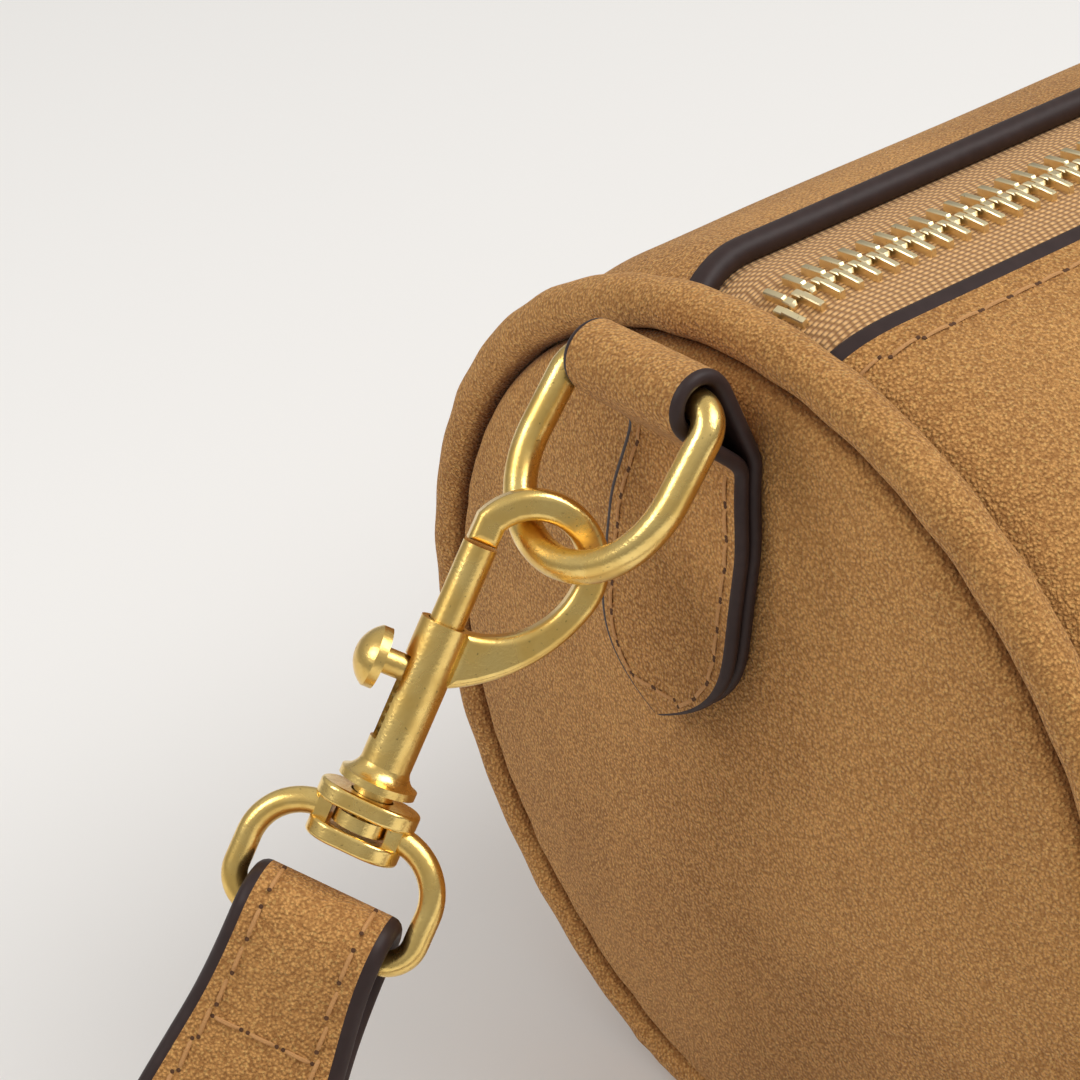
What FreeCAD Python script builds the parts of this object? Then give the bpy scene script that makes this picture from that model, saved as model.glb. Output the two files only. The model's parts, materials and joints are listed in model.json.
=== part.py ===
import FreeCAD, Part
import math
import os

from FreeCAD import Placement, Rotation, Vector

# Sizes are in millimetres and degrees. X runs along the barrel, Y to the back, Z up.
# The origin is on the ground, under the middle of the barrel.

# Barrel
SEAM_SPACING = 200.0
BARREL_RADIUS = 57.5
BASE_SINK = 3.0
SHOULDER_LENGTH = 12.0
SHOULDER_DROP = 5.5
LEATHER = 2.6
STIFFENER = 1.2
LINING = 0.6
SEAM_ALLOWANCE = 7.0
LAYER_GAP = 0.05

# Piping
PIPING_INSET = 2.5
PIPING_RADIUS = 2.8
PIPING_CORD_RADIUS = 1.7
PIPING_TAIL = 1.0
PIPING_BASE_ROUND = 25.0

# End panels
END_LEATHER = 1.8
DOME_HEIGHT = 7.5
DOME_RIM_ROUND = 5.0
DOME_RIM_SET_BACK = 0.5

# Zip
ZIP_OPENING = 22.0
TAPE_THICKNESS = 0.8
TAPE_LAP = 7.0
TOOTH_PITCH = 2.54
TOOTH_THICKNESS = 1.0
TOOTH_HEIGHT = 3.0
CHAIN_WIDTH = 7.4
TOOTH_MESH = 0.9
TOOTH_GRIP = 2.0
TOOTH_CHAMFER = 0.5
CHAIN_START_MARGIN = 3.0
CHAIN_END_MARGIN = 21.5
ZIP_CLEARANCE = 0.45

# Zip slider and its pull
SLIDER_LENGTH = 13.0
SLIDER_MOUTH_WIDTH = 11.4
SLIDER_TAIL_WIDTH = 10.2
SLIDER_PLATE = 1.1
SLIDER_FLANGE = 0.9
SLIDER_POST_WIDTH = 2.6
SLIDER_POST_LENGTH = 3.2
SLIDER_CORNER = 1.6
CROWN_LENGTH = 8.0
CROWN_WIDTH = 2.0
CROWN_HEIGHT = 4.0
CROWN_WALL = 1.2
PULL_LENGTH = 26.0
PULL_WIDTH = 8.0
PULL_TAPER = 1.2
PULL_THICKNESS = 1.5
PULL_WINDOW = 4.6
PULL_RAIL = 1.5
PULL_CORNER = 2.0
PULL_LIFT = 0.8

# Ring tabs
TAB_LEATHER = 1.6
TAB_WIDTH = 16.8
TAB_TIP_WIDTH = 2.0
TAB_STRAIGHT_LENGTH = 16.0
TAB_SEWN_LENGTH = 32.0
TAB_SEWN_DROP = 7.4
TAB_BAR_RISE = 1.2
TAB_BAR_STANDOFF = 11.2
TAB_SIDE_ROUND_SHARE = 0.75

# D-rings
RING_WIRE_RADIUS = 1.6
RING_HALF_WIDTH = 10.8
RING_HEIGHT = 20.0
RING_CORNER = 3.0
RING_SLOPE_ANGLE = 48.0
RING_CLEARANCE = 0.45

# Snap hooks, measured from the barrel's top rim along its axis and out to the arm
HOOK_SLOPE_ANGLE = 53.0
HOOK_TURN_ANGLE = 56.0
HOOK_THICKNESS = 3.0
HOOK_LOOP_REACH = 5.6
HOOK_LOOP_HEIGHT = 8.6
HOOK_LOOP_INNER = 4.6
HOOK_LOOP_OUTER = 7.7
HOOK_TIP_HEIGHT = 8.8
HOOK_TIP_HALF = 1.55
HOOK_ROOT = 2.0
HOOK_ROOT_DEPTH = 6.2
HOOK_OUTER_EASE_ANGLE = 15.0
HOOK_EDGE_ROUND = 0.9
BARREL_TUBE_RADIUS = 2.65
BARREL_TUBE_LENGTH = 15.5
COLLAR_RADIUS = 4.05
COLLAR_FLARE = 1.5
COLLAR_LIP = 0.8
NECK_RADIUS = 2.1
BOLT_RADIUS = 1.8
BOLT_TAIL = 7.5
BOLT_TRAVEL = 6.0
BOLT_TIP_GAP = 0.3
BORE_CLEARANCE = 0.15
BORE_DEPTH = 14.8
KNOB_DEPTH = 5.7
KNOB_STEM_RADIUS = 1.35
KNOB_TENON_RADIUS = 1.0
KNOB_TENON_DEPTH = 1.0
KNOB_HEAD_RADIUS = 3.2
KNOB_HEAD_REACH = 4.6
KNOB_HEAD_THICKNESS = 2.8
KNOB_HEAD_RIM = 1.0
SPRING_WALL = 0.35
FIT_GAP = 0.1
LINK_GAP = 1.2
LINK_OFFSET = 2.4

# Swivel eyes
EYE_TURN_ANGLE = 38.0
YOKE_GAP = 1.1
YOKE_PLATE = 1.9
YOKE_WINDOW = 2.0
YOKE_HALF_WIDTH = 5.4
YOKE_LOWER_HALF_WIDTH = 5.0
YOKE_HALF_DEPTH = 3.4
YOKE_POST_WIDTH = 1.5
YOKE_POST_DEPTH = 3.0
YOKE_EDGE_ROUND = 0.4
EYE_WIRE_RADIUS = 1.35
EYE_HALF_WIDTH = 10.0
EYE_TOP_ROUND = 6.0
EYE_FOOT_ROUND = 3.2
EYE_DROP = 12.3
RIVET_HEAD_RADIUS = 2.9
RIVET_HEAD_THICKNESS = 1.4
RIVET_SHANK_RADIUS = 1.1
RIVET_SHANK_LENGTH = 3.0

# Strap
STRAP_THICKNESS = 2.6
STRAP_WIDTH = 20.0
STRAP_END_WIDTH = 14.8
STRAP_TAPER_LENGTH = 32.0
STRAP_FOLD_CLEARANCE = 0.85
STRAP_LAP = 26.0
STRAP_PINCH = 12.0
STRAP_SEWN_GAP = 0.2
STRAP_LEAN_ANGLE = 50.0
STRAP_SIDE_OUT = 53.0
STRAP_SIDE_FRONT = 45.0
STRAP_FRONT_GAP = 77.5
STRAP_DESCENT_PULL = 62.0
STRAP_SIDE_PULL = 95.0
STRAP_FRONT_PULL = 210.0
FOLD_STEPS = 8
DESCENT_STEPS = 12
FLOOR_STEPS = 18

# Cuts run past the faces that they open by this much.
OVERRUN = 4.0

AXIS_HEIGHT = BARREL_RADIUS - BASE_SINK
SEAM_X = SEAM_SPACING / 2
BODY_END = SEAM_X - PIPING_TAIL / 2 - LAYER_GAP
SHOULDER_X = BODY_END - SHOULDER_LENGTH
SHOULDER_ROUND = (SHOULDER_LENGTH**2 + SHOULDER_DROP**2) / (2 * SHOULDER_DROP)
PIPING_RING_RADIUS = BARREL_RADIUS - PIPING_INSET
DOME_RIM_RADIUS = PIPING_RING_RADIUS - PIPING_RADIUS
TAB_BAR_HEIGHT = DOME_RIM_RADIUS + TAB_BAR_RISE
TAB_SEWN_HEIGHT = TAB_BAR_HEIGHT - TAB_SEWN_DROP
TAB_SHOULDER_HEIGHT = TAB_SEWN_HEIGHT - TAB_STRAIGHT_LENGTH
TAB_TIP_HEIGHT = TAB_SEWN_HEIGHT - TAB_SEWN_LENGTH
SEAM_INNER = PIPING_RING_RADIUS - PIPING_RADIUS - SEAM_ALLOWANCE
STIFFENER_INSET = LEATHER + LAYER_GAP
LINING_INSET = STIFFENER_INSET + STIFFENER + LAYER_GAP
INSIDE_INSET = LINING_INSET + LINING
TAPE_REACH = ZIP_OPENING / 2 + TAPE_LAP
TAPE_MIDDLE = AXIS_HEIGHT + BARREL_RADIUS - STIFFENER_INSET - TAPE_THICKNESS / 2
PANEL_BACK = PIPING_TAIL / 2 + LAYER_GAP
UP = Vector(0, 0, 1)
BACK = Vector(0, 1, 0)
ALONG = Vector(1, 0, 0)
ORIGIN = Vector(0, 0, 0)


def degrees(angle):
    return math.radians(angle)


def unit(vector):
    return vector / vector.Length


def edges_face(edges):
    return Part.Face(Part.Wire(edges))


def line(start, end):
    return Part.LineSegment(start, end).toShape()


def arc(start, middle, end):
    return Part.Arc(start, middle, end).toShape()


def polygon_face(points):
    return Part.Face(Part.makePolygon(points + points[:1]))


def fused(shapes):
    return shapes[0].multiFuse(shapes[1:]).removeSplitter()


def mirrored(shape):
    return shape.mirror(ORIGIN, ALONG)


def placed(shape, origin, across, up, out):
    """The shape, drawn in X, Y and Z, set at origin with those axes across, up and out."""
    moved = shape.copy()
    moved.Placement = Placement(origin, Rotation(across, up, out, "XYZ")) * shape.Placement
    return moved


def slab(half_x, y_low, y_high, z_low, z_high):
    corner = Vector(-half_x, y_low, z_low)
    return Part.makeBox(2 * half_x, y_high - y_low, z_high - z_low, corner)


def turned(face):
    """The face turned once about the barrel's axis."""
    return face.revolve(Vector(0, 0, AXIS_HEIGHT), ALONG, 360)


def at_radius(x, radius):
    return Vector(x, 0, AXIS_HEIGHT + radius)


# Tubes of straight runs and arcs


def straight_tube(start, end, radius):
    return Part.makeCylinder(radius, (end - start).Length, start, end - start)


def bent_tube(start, centre, axis, angle, radius):
    """A tube whose middle starts at start and turns about the axis through centre."""
    heading = axis.cross(start - centre)
    disc = Part.Face(Part.Wire(Part.makeCircle(radius, start, heading)))
    return disc.revolve(centre, axis, angle)


# Barrel layers


def barrel_solid(inset):
    """The barrel's outline, drawn in by inset all round, with its underside flat."""
    end = BODY_END - inset
    shoulder_x = SHOULDER_X
    shoulder_round = SHOULDER_ROUND - inset
    round_centre = BARREL_RADIUS - SHOULDER_ROUND
    end_angle = math.acos((end - shoulder_x) / shoulder_round)
    middle_angle = (end_angle + math.pi / 2) / 2
    end_radius = round_centre + shoulder_round * math.sin(end_angle)
    middle_x = shoulder_x + shoulder_round * math.cos(middle_angle)
    middle_radius = round_centre + shoulder_round * math.sin(middle_angle)
    radius = BARREL_RADIUS - inset
    face = edges_face(
        [
            line(at_radius(-end, 0), at_radius(end, 0)),
            line(at_radius(end, 0), at_radius(end, end_radius)),
            arc(
                at_radius(end, end_radius),
                at_radius(middle_x, middle_radius),
                at_radius(shoulder_x, radius),
            ),
            line(at_radius(shoulder_x, radius), at_radius(-shoulder_x, radius)),
            arc(
                at_radius(-shoulder_x, radius),
                at_radius(-middle_x, middle_radius),
                at_radius(-end, end_radius),
            ),
            line(at_radius(-end, end_radius), at_radius(-end, 0)),
        ]
    )
    side = BARREL_RADIUS + OVERRUN
    below = slab(SEAM_X, -side, side, -side, inset)
    return turned(face).cut(below)


def barrel_layer(inset, thickness, slot_half):
    """One sheet of the barrel wall, with its seam allowances and the gap for the zip."""
    sheet = barrel_solid(inset).cut(barrel_solid(inset + thickness))
    hole = Part.makeCylinder(
        SEAM_INNER, SEAM_SPACING, at_radius(-SEAM_X, 0), ALONG
    )
    top = AXIS_HEIGHT + BARREL_RADIUS + OVERRUN
    slot = slab(SEAM_X, -slot_half, slot_half, AXIS_HEIGHT, top)
    return sheet.cut(hole).cut(slot)


def body_panel():
    sheet = barrel_layer(0, LEATHER, ZIP_OPENING / 2)
    groove = piping_tube(PIPING_RADIUS + LAYER_GAP)
    return sheet.cut(groove).cut(mirrored(groove))


def body_stiffener():
    return barrel_layer(STIFFENER_INSET, STIFFENER, TAPE_REACH + ZIP_CLEARANCE)


def body_lining():
    return barrel_layer(LINING_INSET, LINING, ZIP_OPENING / 2 + TAPE_LAP / 2)


def end_lining():
    """The round of lining that closes the left end inside the lining's seam allowance."""
    start = LAYER_GAP + INSIDE_INSET - BODY_END
    radius = SEAM_INNER + SEAM_ALLOWANCE / 2
    return Part.makeCylinder(radius, LINING, at_radius(start, 0), ALONG)


# Piping at the left end


def piping_tube(radius):
    """A tube along the seam: a round, with its foot drawn flat on the ground."""
    ring = PIPING_RING_RADIUS
    foot_round = PIPING_BASE_ROUND
    foot_depth = AXIS_HEIGHT - PIPING_RADIUS
    rise = foot_depth - foot_round
    half_foot = math.sqrt((ring - foot_round) ** 2 - rise**2)
    foot_angle = math.degrees(math.atan2(half_foot, rise))
    centre = Vector(-SEAM_X, 0, AXIS_HEIGHT)
    front_foot = Vector(-SEAM_X, -half_foot, PIPING_RADIUS)
    back_foot = Vector(-SEAM_X, half_foot, PIPING_RADIUS)
    back_centre = back_foot + UP * foot_round
    front_centre = front_foot + UP * foot_round
    lean = degrees(foot_angle)
    back_turn = centre + Vector(0, math.sin(lean), -math.cos(lean)) * ring
    front_turn = centre + Vector(0, -math.sin(lean), -math.cos(lean)) * ring
    return fused(
        [
            straight_tube(front_foot, back_foot, radius),
            bent_tube(back_foot, back_centre, ALONG, foot_angle, radius),
            bent_tube(back_turn, centre, ALONG, 360 - 2 * foot_angle, radius),
            bent_tube(front_turn, front_centre, ALONG, foot_angle, radius),
        ]
    )


def piping_cover():
    """The covered ring, hollow for its cord, with its tail sewn between the panels."""
    start = at_radius(-SEAM_X - PIPING_TAIL / 2, 0)
    tail = Part.makeCylinder(PIPING_RING_RADIUS - PIPING_RADIUS / 2, PIPING_TAIL, start, ALONG)
    tail = tail.cut(Part.makeCylinder(SEAM_INNER, PIPING_TAIL, start, ALONG))
    return piping_tube(PIPING_RADIUS).fuse(tail).cut(piping_tube(PIPING_CORD_RADIUS + LAYER_GAP))


def piping_cord():
    return piping_tube(PIPING_CORD_RADIUS)


# Left end panel


def dome_radii():
    """Radius of the dome's crown, whose arc runs into the round of its rim."""
    rim_centre = DOME_RIM_RADIUS - DOME_RIM_ROUND
    apex = DOME_HEIGHT + DOME_RIM_SET_BACK
    return (rim_centre**2 + apex**2 - DOME_RIM_ROUND**2) / (2 * (apex - DOME_RIM_ROUND))


CROWN_RADIUS = dome_radii()
CROWN_CENTRE = DOME_HEIGHT - CROWN_RADIUS


def out_at(outward, radius):
    """A point of the left end, outward from the seam and radius above the axis."""
    return Vector(-SEAM_X - outward, 0, AXIS_HEIGHT + radius)


def crown_point(offset, height):
    """The point at that height above the axis, offset outward from the dome's crown."""
    radius = CROWN_RADIUS + offset
    return out_at(CROWN_CENTRE + math.sqrt(radius**2 - height**2), height)


def crown_arc(offset, start, end):
    middle = (start + end) / 2
    return arc(crown_point(offset, start), crown_point(offset, middle), crown_point(offset, end))


def end_panel():
    """The domed leather round with its rim turned in and its seam allowance."""
    rim_centre = DOME_RIM_RADIUS - DOME_RIM_ROUND
    slope = math.atan2(rim_centre, -DOME_RIM_SET_BACK - CROWN_CENTRE)
    start = math.asin((PANEL_BACK + DOME_RIM_SET_BACK) / DOME_RIM_ROUND)
    stop = math.pi / 2 - slope

    def rim(angle):
        outward = DOME_RIM_ROUND * math.sin(angle) - DOME_RIM_SET_BACK
        return out_at(outward, rim_centre + DOME_RIM_ROUND * math.cos(angle))

    join = CROWN_RADIUS * math.sin(slope)
    front = PANEL_BACK + END_LEATHER
    inner = math.sqrt((CROWN_RADIUS - END_LEATHER) ** 2 - (front - CROWN_CENTRE) ** 2)
    face = edges_face(
        [
            line(out_at(PANEL_BACK, SEAM_INNER), rim(start)),
            arc(rim(start), rim((start + stop) / 2), rim(stop)),
            crown_arc(0, join, 0),
            line(crown_point(0, 0), crown_point(-END_LEATHER, 0)),
            crown_arc(-END_LEATHER, 0, inner),
            line(out_at(front, inner), out_at(front, SEAM_INNER)),
            line(out_at(front, SEAM_INNER), out_at(PANEL_BACK, SEAM_INNER)),
        ]
    )
    return turned(face).cut(piping_tube(PIPING_RADIUS + LAYER_GAP))


def end_pad():
    """The padding that fills the dome behind the leather."""
    back = PANEL_BACK + END_LEATHER + LAYER_GAP
    offset = -END_LEATHER - LAYER_GAP
    rim = math.sqrt((CROWN_RADIUS + offset) ** 2 - (back - CROWN_CENTRE) ** 2)
    face = edges_face(
        [
            line(out_at(back, 0), out_at(back, rim)),
            crown_arc(offset, rim, 0),
            line(crown_point(offset, 0), out_at(back, 0)),
        ]
    )
    return turned(face)


# Zip


def zip_tape(side):
    """One tape under the leather's edge, from the seam at one end to the other."""
    sheet = barrel_solid(STIFFENER_INSET).cut(barrel_solid(STIFFENER_INSET + TAPE_THICKNESS))
    inner = CHAIN_WIDTH / 2 - TOOTH_GRIP
    top = AXIS_HEIGHT + BARREL_RADIUS
    half_length = BODY_END - STIFFENER_INSET - TAPE_THICKNESS
    strip = slab(half_length, inner, TAPE_REACH, AXIS_HEIGHT, top)
    tape = sheet.common(strip)
    return tape if side > 0 else tape.mirror(ORIGIN, BACK)


def zip_row(side):
    """A row of teeth that grip the tape's edge and mesh with the other row."""
    half = TOOTH_HEIGHT / 2
    grip = TAPE_THICKNESS / 2 + LAYER_GAP * 4
    outer = CHAIN_WIDTH / 2
    throat = outer - TOOTH_GRIP - LAYER_GAP * 2
    outline = [
        (-TOOTH_MESH, half - TOOTH_CHAMFER),
        (-TOOTH_MESH + TOOTH_CHAMFER, half),
        (outer, half),
        (outer, grip),
        (throat, grip),
        (throat, -grip),
        (outer, -grip),
        (outer, -half),
        (-TOOTH_MESH + TOOTH_CHAMFER, -half),
        (-TOOTH_MESH, TOOTH_CHAMFER - half),
    ]
    start = -TOOTH_THICKNESS / 2
    corners = [Vector(start, side * y, z) for y, z in outline]
    tooth = polygon_face(corners).extrude(ALONG * TOOTH_THICKNESS)
    first = CHAIN_START_MARGIN - SEAM_X
    last = SEAM_X - CHAIN_END_MARGIN
    shift = 0 if side > 0 else TOOTH_PITCH / 2
    count = int((last - first - shift) / TOOTH_PITCH)
    distances = [first + shift + index * TOOTH_PITCH for index in range(count)]
    return Part.makeCompound([on_tape(tooth, distance) for distance in distances])


def on_tape(shape, distance):
    """The shape set on the tape's middle, level along the barrel and turned down its shoulder."""
    shoulder_round = SHOULDER_ROUND - STIFFENER_INSET - TAPE_THICKNESS / 2
    past = max(-SHOULDER_X - distance, 0)
    swing = past / shoulder_round
    x = distance + past - shoulder_round * math.sin(swing)
    z = TAPE_MIDDLE - shoulder_round * (1 - math.cos(swing))
    across = Vector(math.cos(swing), 0, math.sin(swing))
    return placed(shape, Vector(x, 0, z), across, BACK, across.cross(BACK))


SLIDER_X = SEAM_X - CHAIN_END_MARGIN + SLIDER_LENGTH / 2 - SLIDER_POST_LENGTH - ZIP_CLEARANCE * 2
SLIDER_INNER = TOOTH_HEIGHT / 2 + ZIP_CLEARANCE
SLIDER_TOP = TAPE_MIDDLE + SLIDER_INNER + SLIDER_PLATE
PULL_AXIS = SLIDER_TOP + PULL_THICKNESS / 2 + PULL_LIFT


def slider_outline(width_inset):
    """The slider's plate seen from above, wide at the mouth and narrower at the tail."""
    tail = SLIDER_X - SLIDER_LENGTH / 2
    mouth = SLIDER_X + SLIDER_LENGTH / 2
    wide = SLIDER_MOUTH_WIDTH / 2 - width_inset
    slim = SLIDER_TAIL_WIDTH / 2 - width_inset
    return [
        Vector(tail, -slim, 0),
        Vector(SLIDER_X, -slim, 0),
        Vector(mouth - SLIDER_CORNER, -wide, 0),
        Vector(mouth, SLIDER_CORNER - wide, 0),
        Vector(mouth, wide - SLIDER_CORNER, 0),
        Vector(mouth - SLIDER_CORNER, wide, 0),
        Vector(SLIDER_X, slim, 0),
        Vector(tail, slim, 0),
    ]


def zip_slider():
    """Two plates joined by a post, with flanges along their sides and a crown on top."""
    flange_gap = TAPE_THICKNESS / 2 + ZIP_CLEARANCE
    block_height = SLIDER_INNER + SLIDER_PLATE - flange_gap
    plate = polygon_face(slider_outline(0)).extrude(UP * block_height)
    channel_face = polygon_face(slider_outline(SLIDER_FLANGE))
    channel = channel_face.extrude(UP * (SLIDER_INNER - flange_gap))
    long_channel = slab(
        SLIDER_LENGTH,
        SLIDER_FLANGE - SLIDER_TAIL_WIDTH / 2,
        SLIDER_TAIL_WIDTH / 2 - SLIDER_FLANGE,
        0,
        SLIDER_INNER - flange_gap,
    )
    long_channel.translate(ALONG * SLIDER_X)
    upper = plate.cut(channel).cut(long_channel)
    lower = upper.mirror(ORIGIN, UP)
    upper.translate(UP * (TAPE_MIDDLE + flange_gap))
    lower.translate(UP * (TAPE_MIDDLE - flange_gap))
    post = slab(
        SLIDER_POST_LENGTH / 2,
        -SLIDER_POST_WIDTH / 2,
        SLIDER_POST_WIDTH / 2,
        TAPE_MIDDLE - SLIDER_INNER,
        TAPE_MIDDLE + SLIDER_INNER,
    )
    post.translate(ALONG * (SLIDER_X + SLIDER_LENGTH / 2 - SLIDER_POST_LENGTH / 2))
    return fused([upper, lower, post, slider_crown()])


def slider_crown():
    """The arch on the slider that holds the pull."""
    half = CROWN_LENGTH / 2
    shoulder = CROWN_HEIGHT - CROWN_WALL
    inner_top = CROWN_HEIGHT - CROWN_WALL
    outer = [(-half, 0), (-half, shoulder), (-half + CROWN_WALL, CROWN_HEIGHT)]
    outer += [(-x, z) for x, z in reversed(outer)]
    inner = [(CROWN_WALL - half, 0), (CROWN_WALL - half, inner_top)]
    inner += [(-x, z) for x, z in reversed(inner)]
    start = -CROWN_WIDTH / 2

    def prism(points):
        corners = [Vector(SLIDER_X + x, start, SLIDER_TOP + z) for x, z in points]
        return polygon_face(corners).extrude(BACK * CROWN_WIDTH)

    return prism(outer).cut(prism(inner))


def zip_pull():
    """A plate with a window at one end, whose end bar lies under the slider's crown."""
    reach = PULL_LENGTH
    half = PULL_WIDTH / 2
    slim = half - PULL_TAPER
    bar = PULL_THICKNESS / 2
    outline = [
        Vector(bar, -slim, 0),
        Vector(PULL_CORNER - reach, -half, 0),
        Vector(-reach, PULL_CORNER - half, 0),
        Vector(-reach, half - PULL_CORNER, 0),
        Vector(PULL_CORNER - reach, half, 0),
        Vector(bar, slim, 0),
    ]
    plate = polygon_face(outline).extrude(UP * PULL_THICKNESS)
    window = slab(PULL_WINDOW / 2, PULL_RAIL - slim, slim - PULL_RAIL, -OVERRUN, OVERRUN)
    window.translate(ALONG * (-bar - PULL_WINDOW / 2))
    hinge = straight_tube(Vector(0, -slim, bar), Vector(0, slim, bar), bar)
    corner_cut = slab(bar, -half, half, -OVERRUN, OVERRUN)
    corner_cut.translate(ALONG * bar)
    pull = fused([plate.cut(window).cut(corner_cut), hinge])
    pull.translate(Vector(SLIDER_X, 0, PULL_AXIS - bar))
    return pull


# Ring tab and D-ring at the left end

RING_AXIS = out_at(TAB_BAR_STANDOFF, TAB_BAR_HEIGHT)


def touching(point, centre, radius, side):
    """Where a line from point touches the circle in the XZ plane, on the given side."""
    away = point - centre
    swing = side * math.acos(radius / away.Length)
    spoke = Rotation(BACK, math.degrees(swing)).multVec(unit(away))
    return centre + spoke * radius


def tab_loop(root_back, root_front, radius):
    """The edges that run up from one root, over the ring's bar and down to the other."""
    rise = touching(root_back, RING_AXIS, radius, -1)
    fall = touching(root_front, RING_AXIS, radius, 1)
    top = RING_AXIS + unit(RING_AXIS * 2 - root_back - root_front) * radius
    return [line(root_back, rise), arc(rise, top, fall), line(fall, root_front)]


def ring_tab():
    """A strip folded over the ring's bar and sewn double down the dome to a point."""
    inner = RING_WIRE_RADIUS + RING_CLEARANCE
    outer = inner + TAB_LEATHER
    behind = LAYER_GAP * 2
    ahead = behind + 2 * TAB_LEATHER
    top = TAB_SEWN_HEIGHT
    tip = TAB_TIP_HEIGHT
    outline = [crown_arc(behind, tip, top)]
    outline += tab_loop(crown_point(behind, top), crown_point(ahead, top), outer)
    outline += [
        crown_arc(ahead, top, tip),
        line(crown_point(ahead, tip), crown_point(behind, tip)),
    ]
    fold = crown_point(behind + TAB_LEATHER, top)
    hole = tab_loop(fold, fold, inner)
    section = edges_face(outline).cut(edges_face(hole))
    section.translate(BACK * (-TAB_WIDTH / 2))
    strip = section.extrude(BACK * TAB_WIDTH)
    return strip.common(tab_shield())


def tab_shield():
    """The tab's outline seen from the end: straight sides that round in to a blunt point."""
    half = TAB_WIDTH / 2
    tip_half = TAB_TIP_WIDTH / 2
    roof = TAB_BAR_HEIGHT + OVERRUN + RING_HEIGHT
    knee_y = tip_half + (half - tip_half) * TAB_SIDE_ROUND_SHARE
    knee_z = (TAB_SHOULDER_HEIGHT + TAB_TIP_HEIGHT) / 2
    start = -SEAM_X - TAB_BAR_STANDOFF - RING_HEIGHT

    def spot(y, height):
        return Vector(start, y, AXIS_HEIGHT + height)

    def side(sign):
        return arc(
            spot(sign * half, TAB_SHOULDER_HEIGHT),
            spot(sign * knee_y, knee_z),
            spot(sign * tip_half, TAB_TIP_HEIGHT),
        )

    outline = [
        line(spot(half, roof), spot(half, TAB_SHOULDER_HEIGHT)),
        side(1),
        line(spot(tip_half, TAB_TIP_HEIGHT), spot(-tip_half, TAB_TIP_HEIGHT)),
        side(-1),
        line(spot(-half, TAB_SHOULDER_HEIGHT), spot(-half, roof)),
        line(spot(-half, roof), spot(half, roof)),
    ]
    return edges_face(outline).extrude(ALONG * (-SEAM_X - start))


def sloped(angle):
    """The direction outward from the left end and down by that angle."""
    return Vector(-math.cos(degrees(angle)), 0, -math.sin(degrees(angle)))


def d_ring():
    """A round wire: a bar with two corners, straight sides and a half-round foot."""
    half = RING_HALF_WIDTH
    corner = RING_CORNER
    side_end = RING_HEIGHT - half
    wire = RING_WIRE_RADIUS
    out = Vector(0, 0, 1)
    left = Vector(corner - half, 0, 0)
    right = Vector(half - corner, 0, 0)
    left_side = Vector(-half, -corner, 0)
    right_side = Vector(half, -corner, 0)
    left_foot = Vector(-half, -side_end, 0)
    right_foot = Vector(half, -side_end, 0)
    foot_centre = Vector(0, -side_end, 0)
    ring = fused(
        [
            straight_tube(left, right, wire),
            bent_tube(right, right - Vector(0, corner, 0), out, -90, wire),
            straight_tube(right_side, right_foot, wire),
            bent_tube(right_foot, foot_centre, out, -180, wire),
            straight_tube(left_foot, left_side, wire),
            bent_tube(left_side, left - Vector(0, corner, 0), out, -90, wire),
        ]
    )
    up = sloped(RING_SLOPE_ANGLE) * -1
    return placed(ring, RING_AXIS, BACK * -1, up, (BACK * -1).cross(up))


# Snap hook on the left ring

HOOK_UP = sloped(HOOK_SLOPE_ANGLE) * -1
TOWARD_BAG = BACK.cross(HOOK_UP)


def swivelled(angle):
    """The direction across the hook's axis, turned by that angle from the front toward the bag."""
    return (BACK * -1) * math.cos(degrees(angle)) + TOWARD_BAG * math.sin(degrees(angle))


HOOK_ACROSS = swivelled(HOOK_TURN_ANGLE)
EYE_ACROSS = swivelled(EYE_TURN_ANGLE)
LINK_HEIGHT = HOOK_LOOP_HEIGHT + HOOK_LOOP_INNER - RING_WIRE_RADIUS - LINK_GAP
LINK_REACH = RING_HEIGHT - RING_HALF_WIDTH + math.sqrt(RING_HALF_WIDTH**2 - LINK_OFFSET**2)
LINK_POINT = RING_AXIS + sloped(RING_SLOPE_ANGLE) * LINK_REACH + BACK * LINK_OFFSET
HOOK_ORIGIN = LINK_POINT - HOOK_ACROSS * HOOK_LOOP_REACH - HOOK_UP * LINK_HEIGHT
BORE_RADIUS = BOLT_RADIUS + BORE_CLEARANCE
COLLAR_FOOT = -BARREL_TUBE_LENGTH - COLLAR_FLARE - COLLAR_LIP
YOKE_TOP = COLLAR_FOOT - YOKE_GAP
WINDOW_TOP = YOKE_TOP - YOKE_PLATE
WINDOW_FOOT = WINDOW_TOP - YOKE_WINDOW
EYE_ROOT = (WINDOW_TOP + WINDOW_FOOT) / 2
EYE_BAR = EYE_ROOT - EYE_DROP
AXIS_UP = Vector(0, 1, 0)


def on_hook(shape):
    return placed(shape, HOOK_ORIGIN, HOOK_ACROSS, HOOK_UP, HOOK_ACROSS.cross(HOOK_UP))


def on_eye(shape):
    return placed(shape, HOOK_ORIGIN, EYE_ACROSS, HOOK_UP, EYE_ACROSS.cross(HOOK_UP))


def upright(radius, low, high):
    return Part.makeCylinder(radius, high - low, Vector(0, low, 0), AXIS_UP)


def loop_spot(radius, angle):
    swing = degrees(angle)
    reach = HOOK_LOOP_REACH + radius * math.cos(swing)
    return Vector(reach, HOOK_LOOP_HEIGHT + radius * math.sin(swing), 0)


def loop_angle(radius, across):
    return math.degrees(math.acos((across - HOOK_LOOP_REACH) / radius))


def loop_heading(angle):
    """The direction of the loop there, going round from its top toward the barrel."""
    return Vector(math.sin(degrees(angle)), -math.cos(degrees(angle)), 0)


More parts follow.
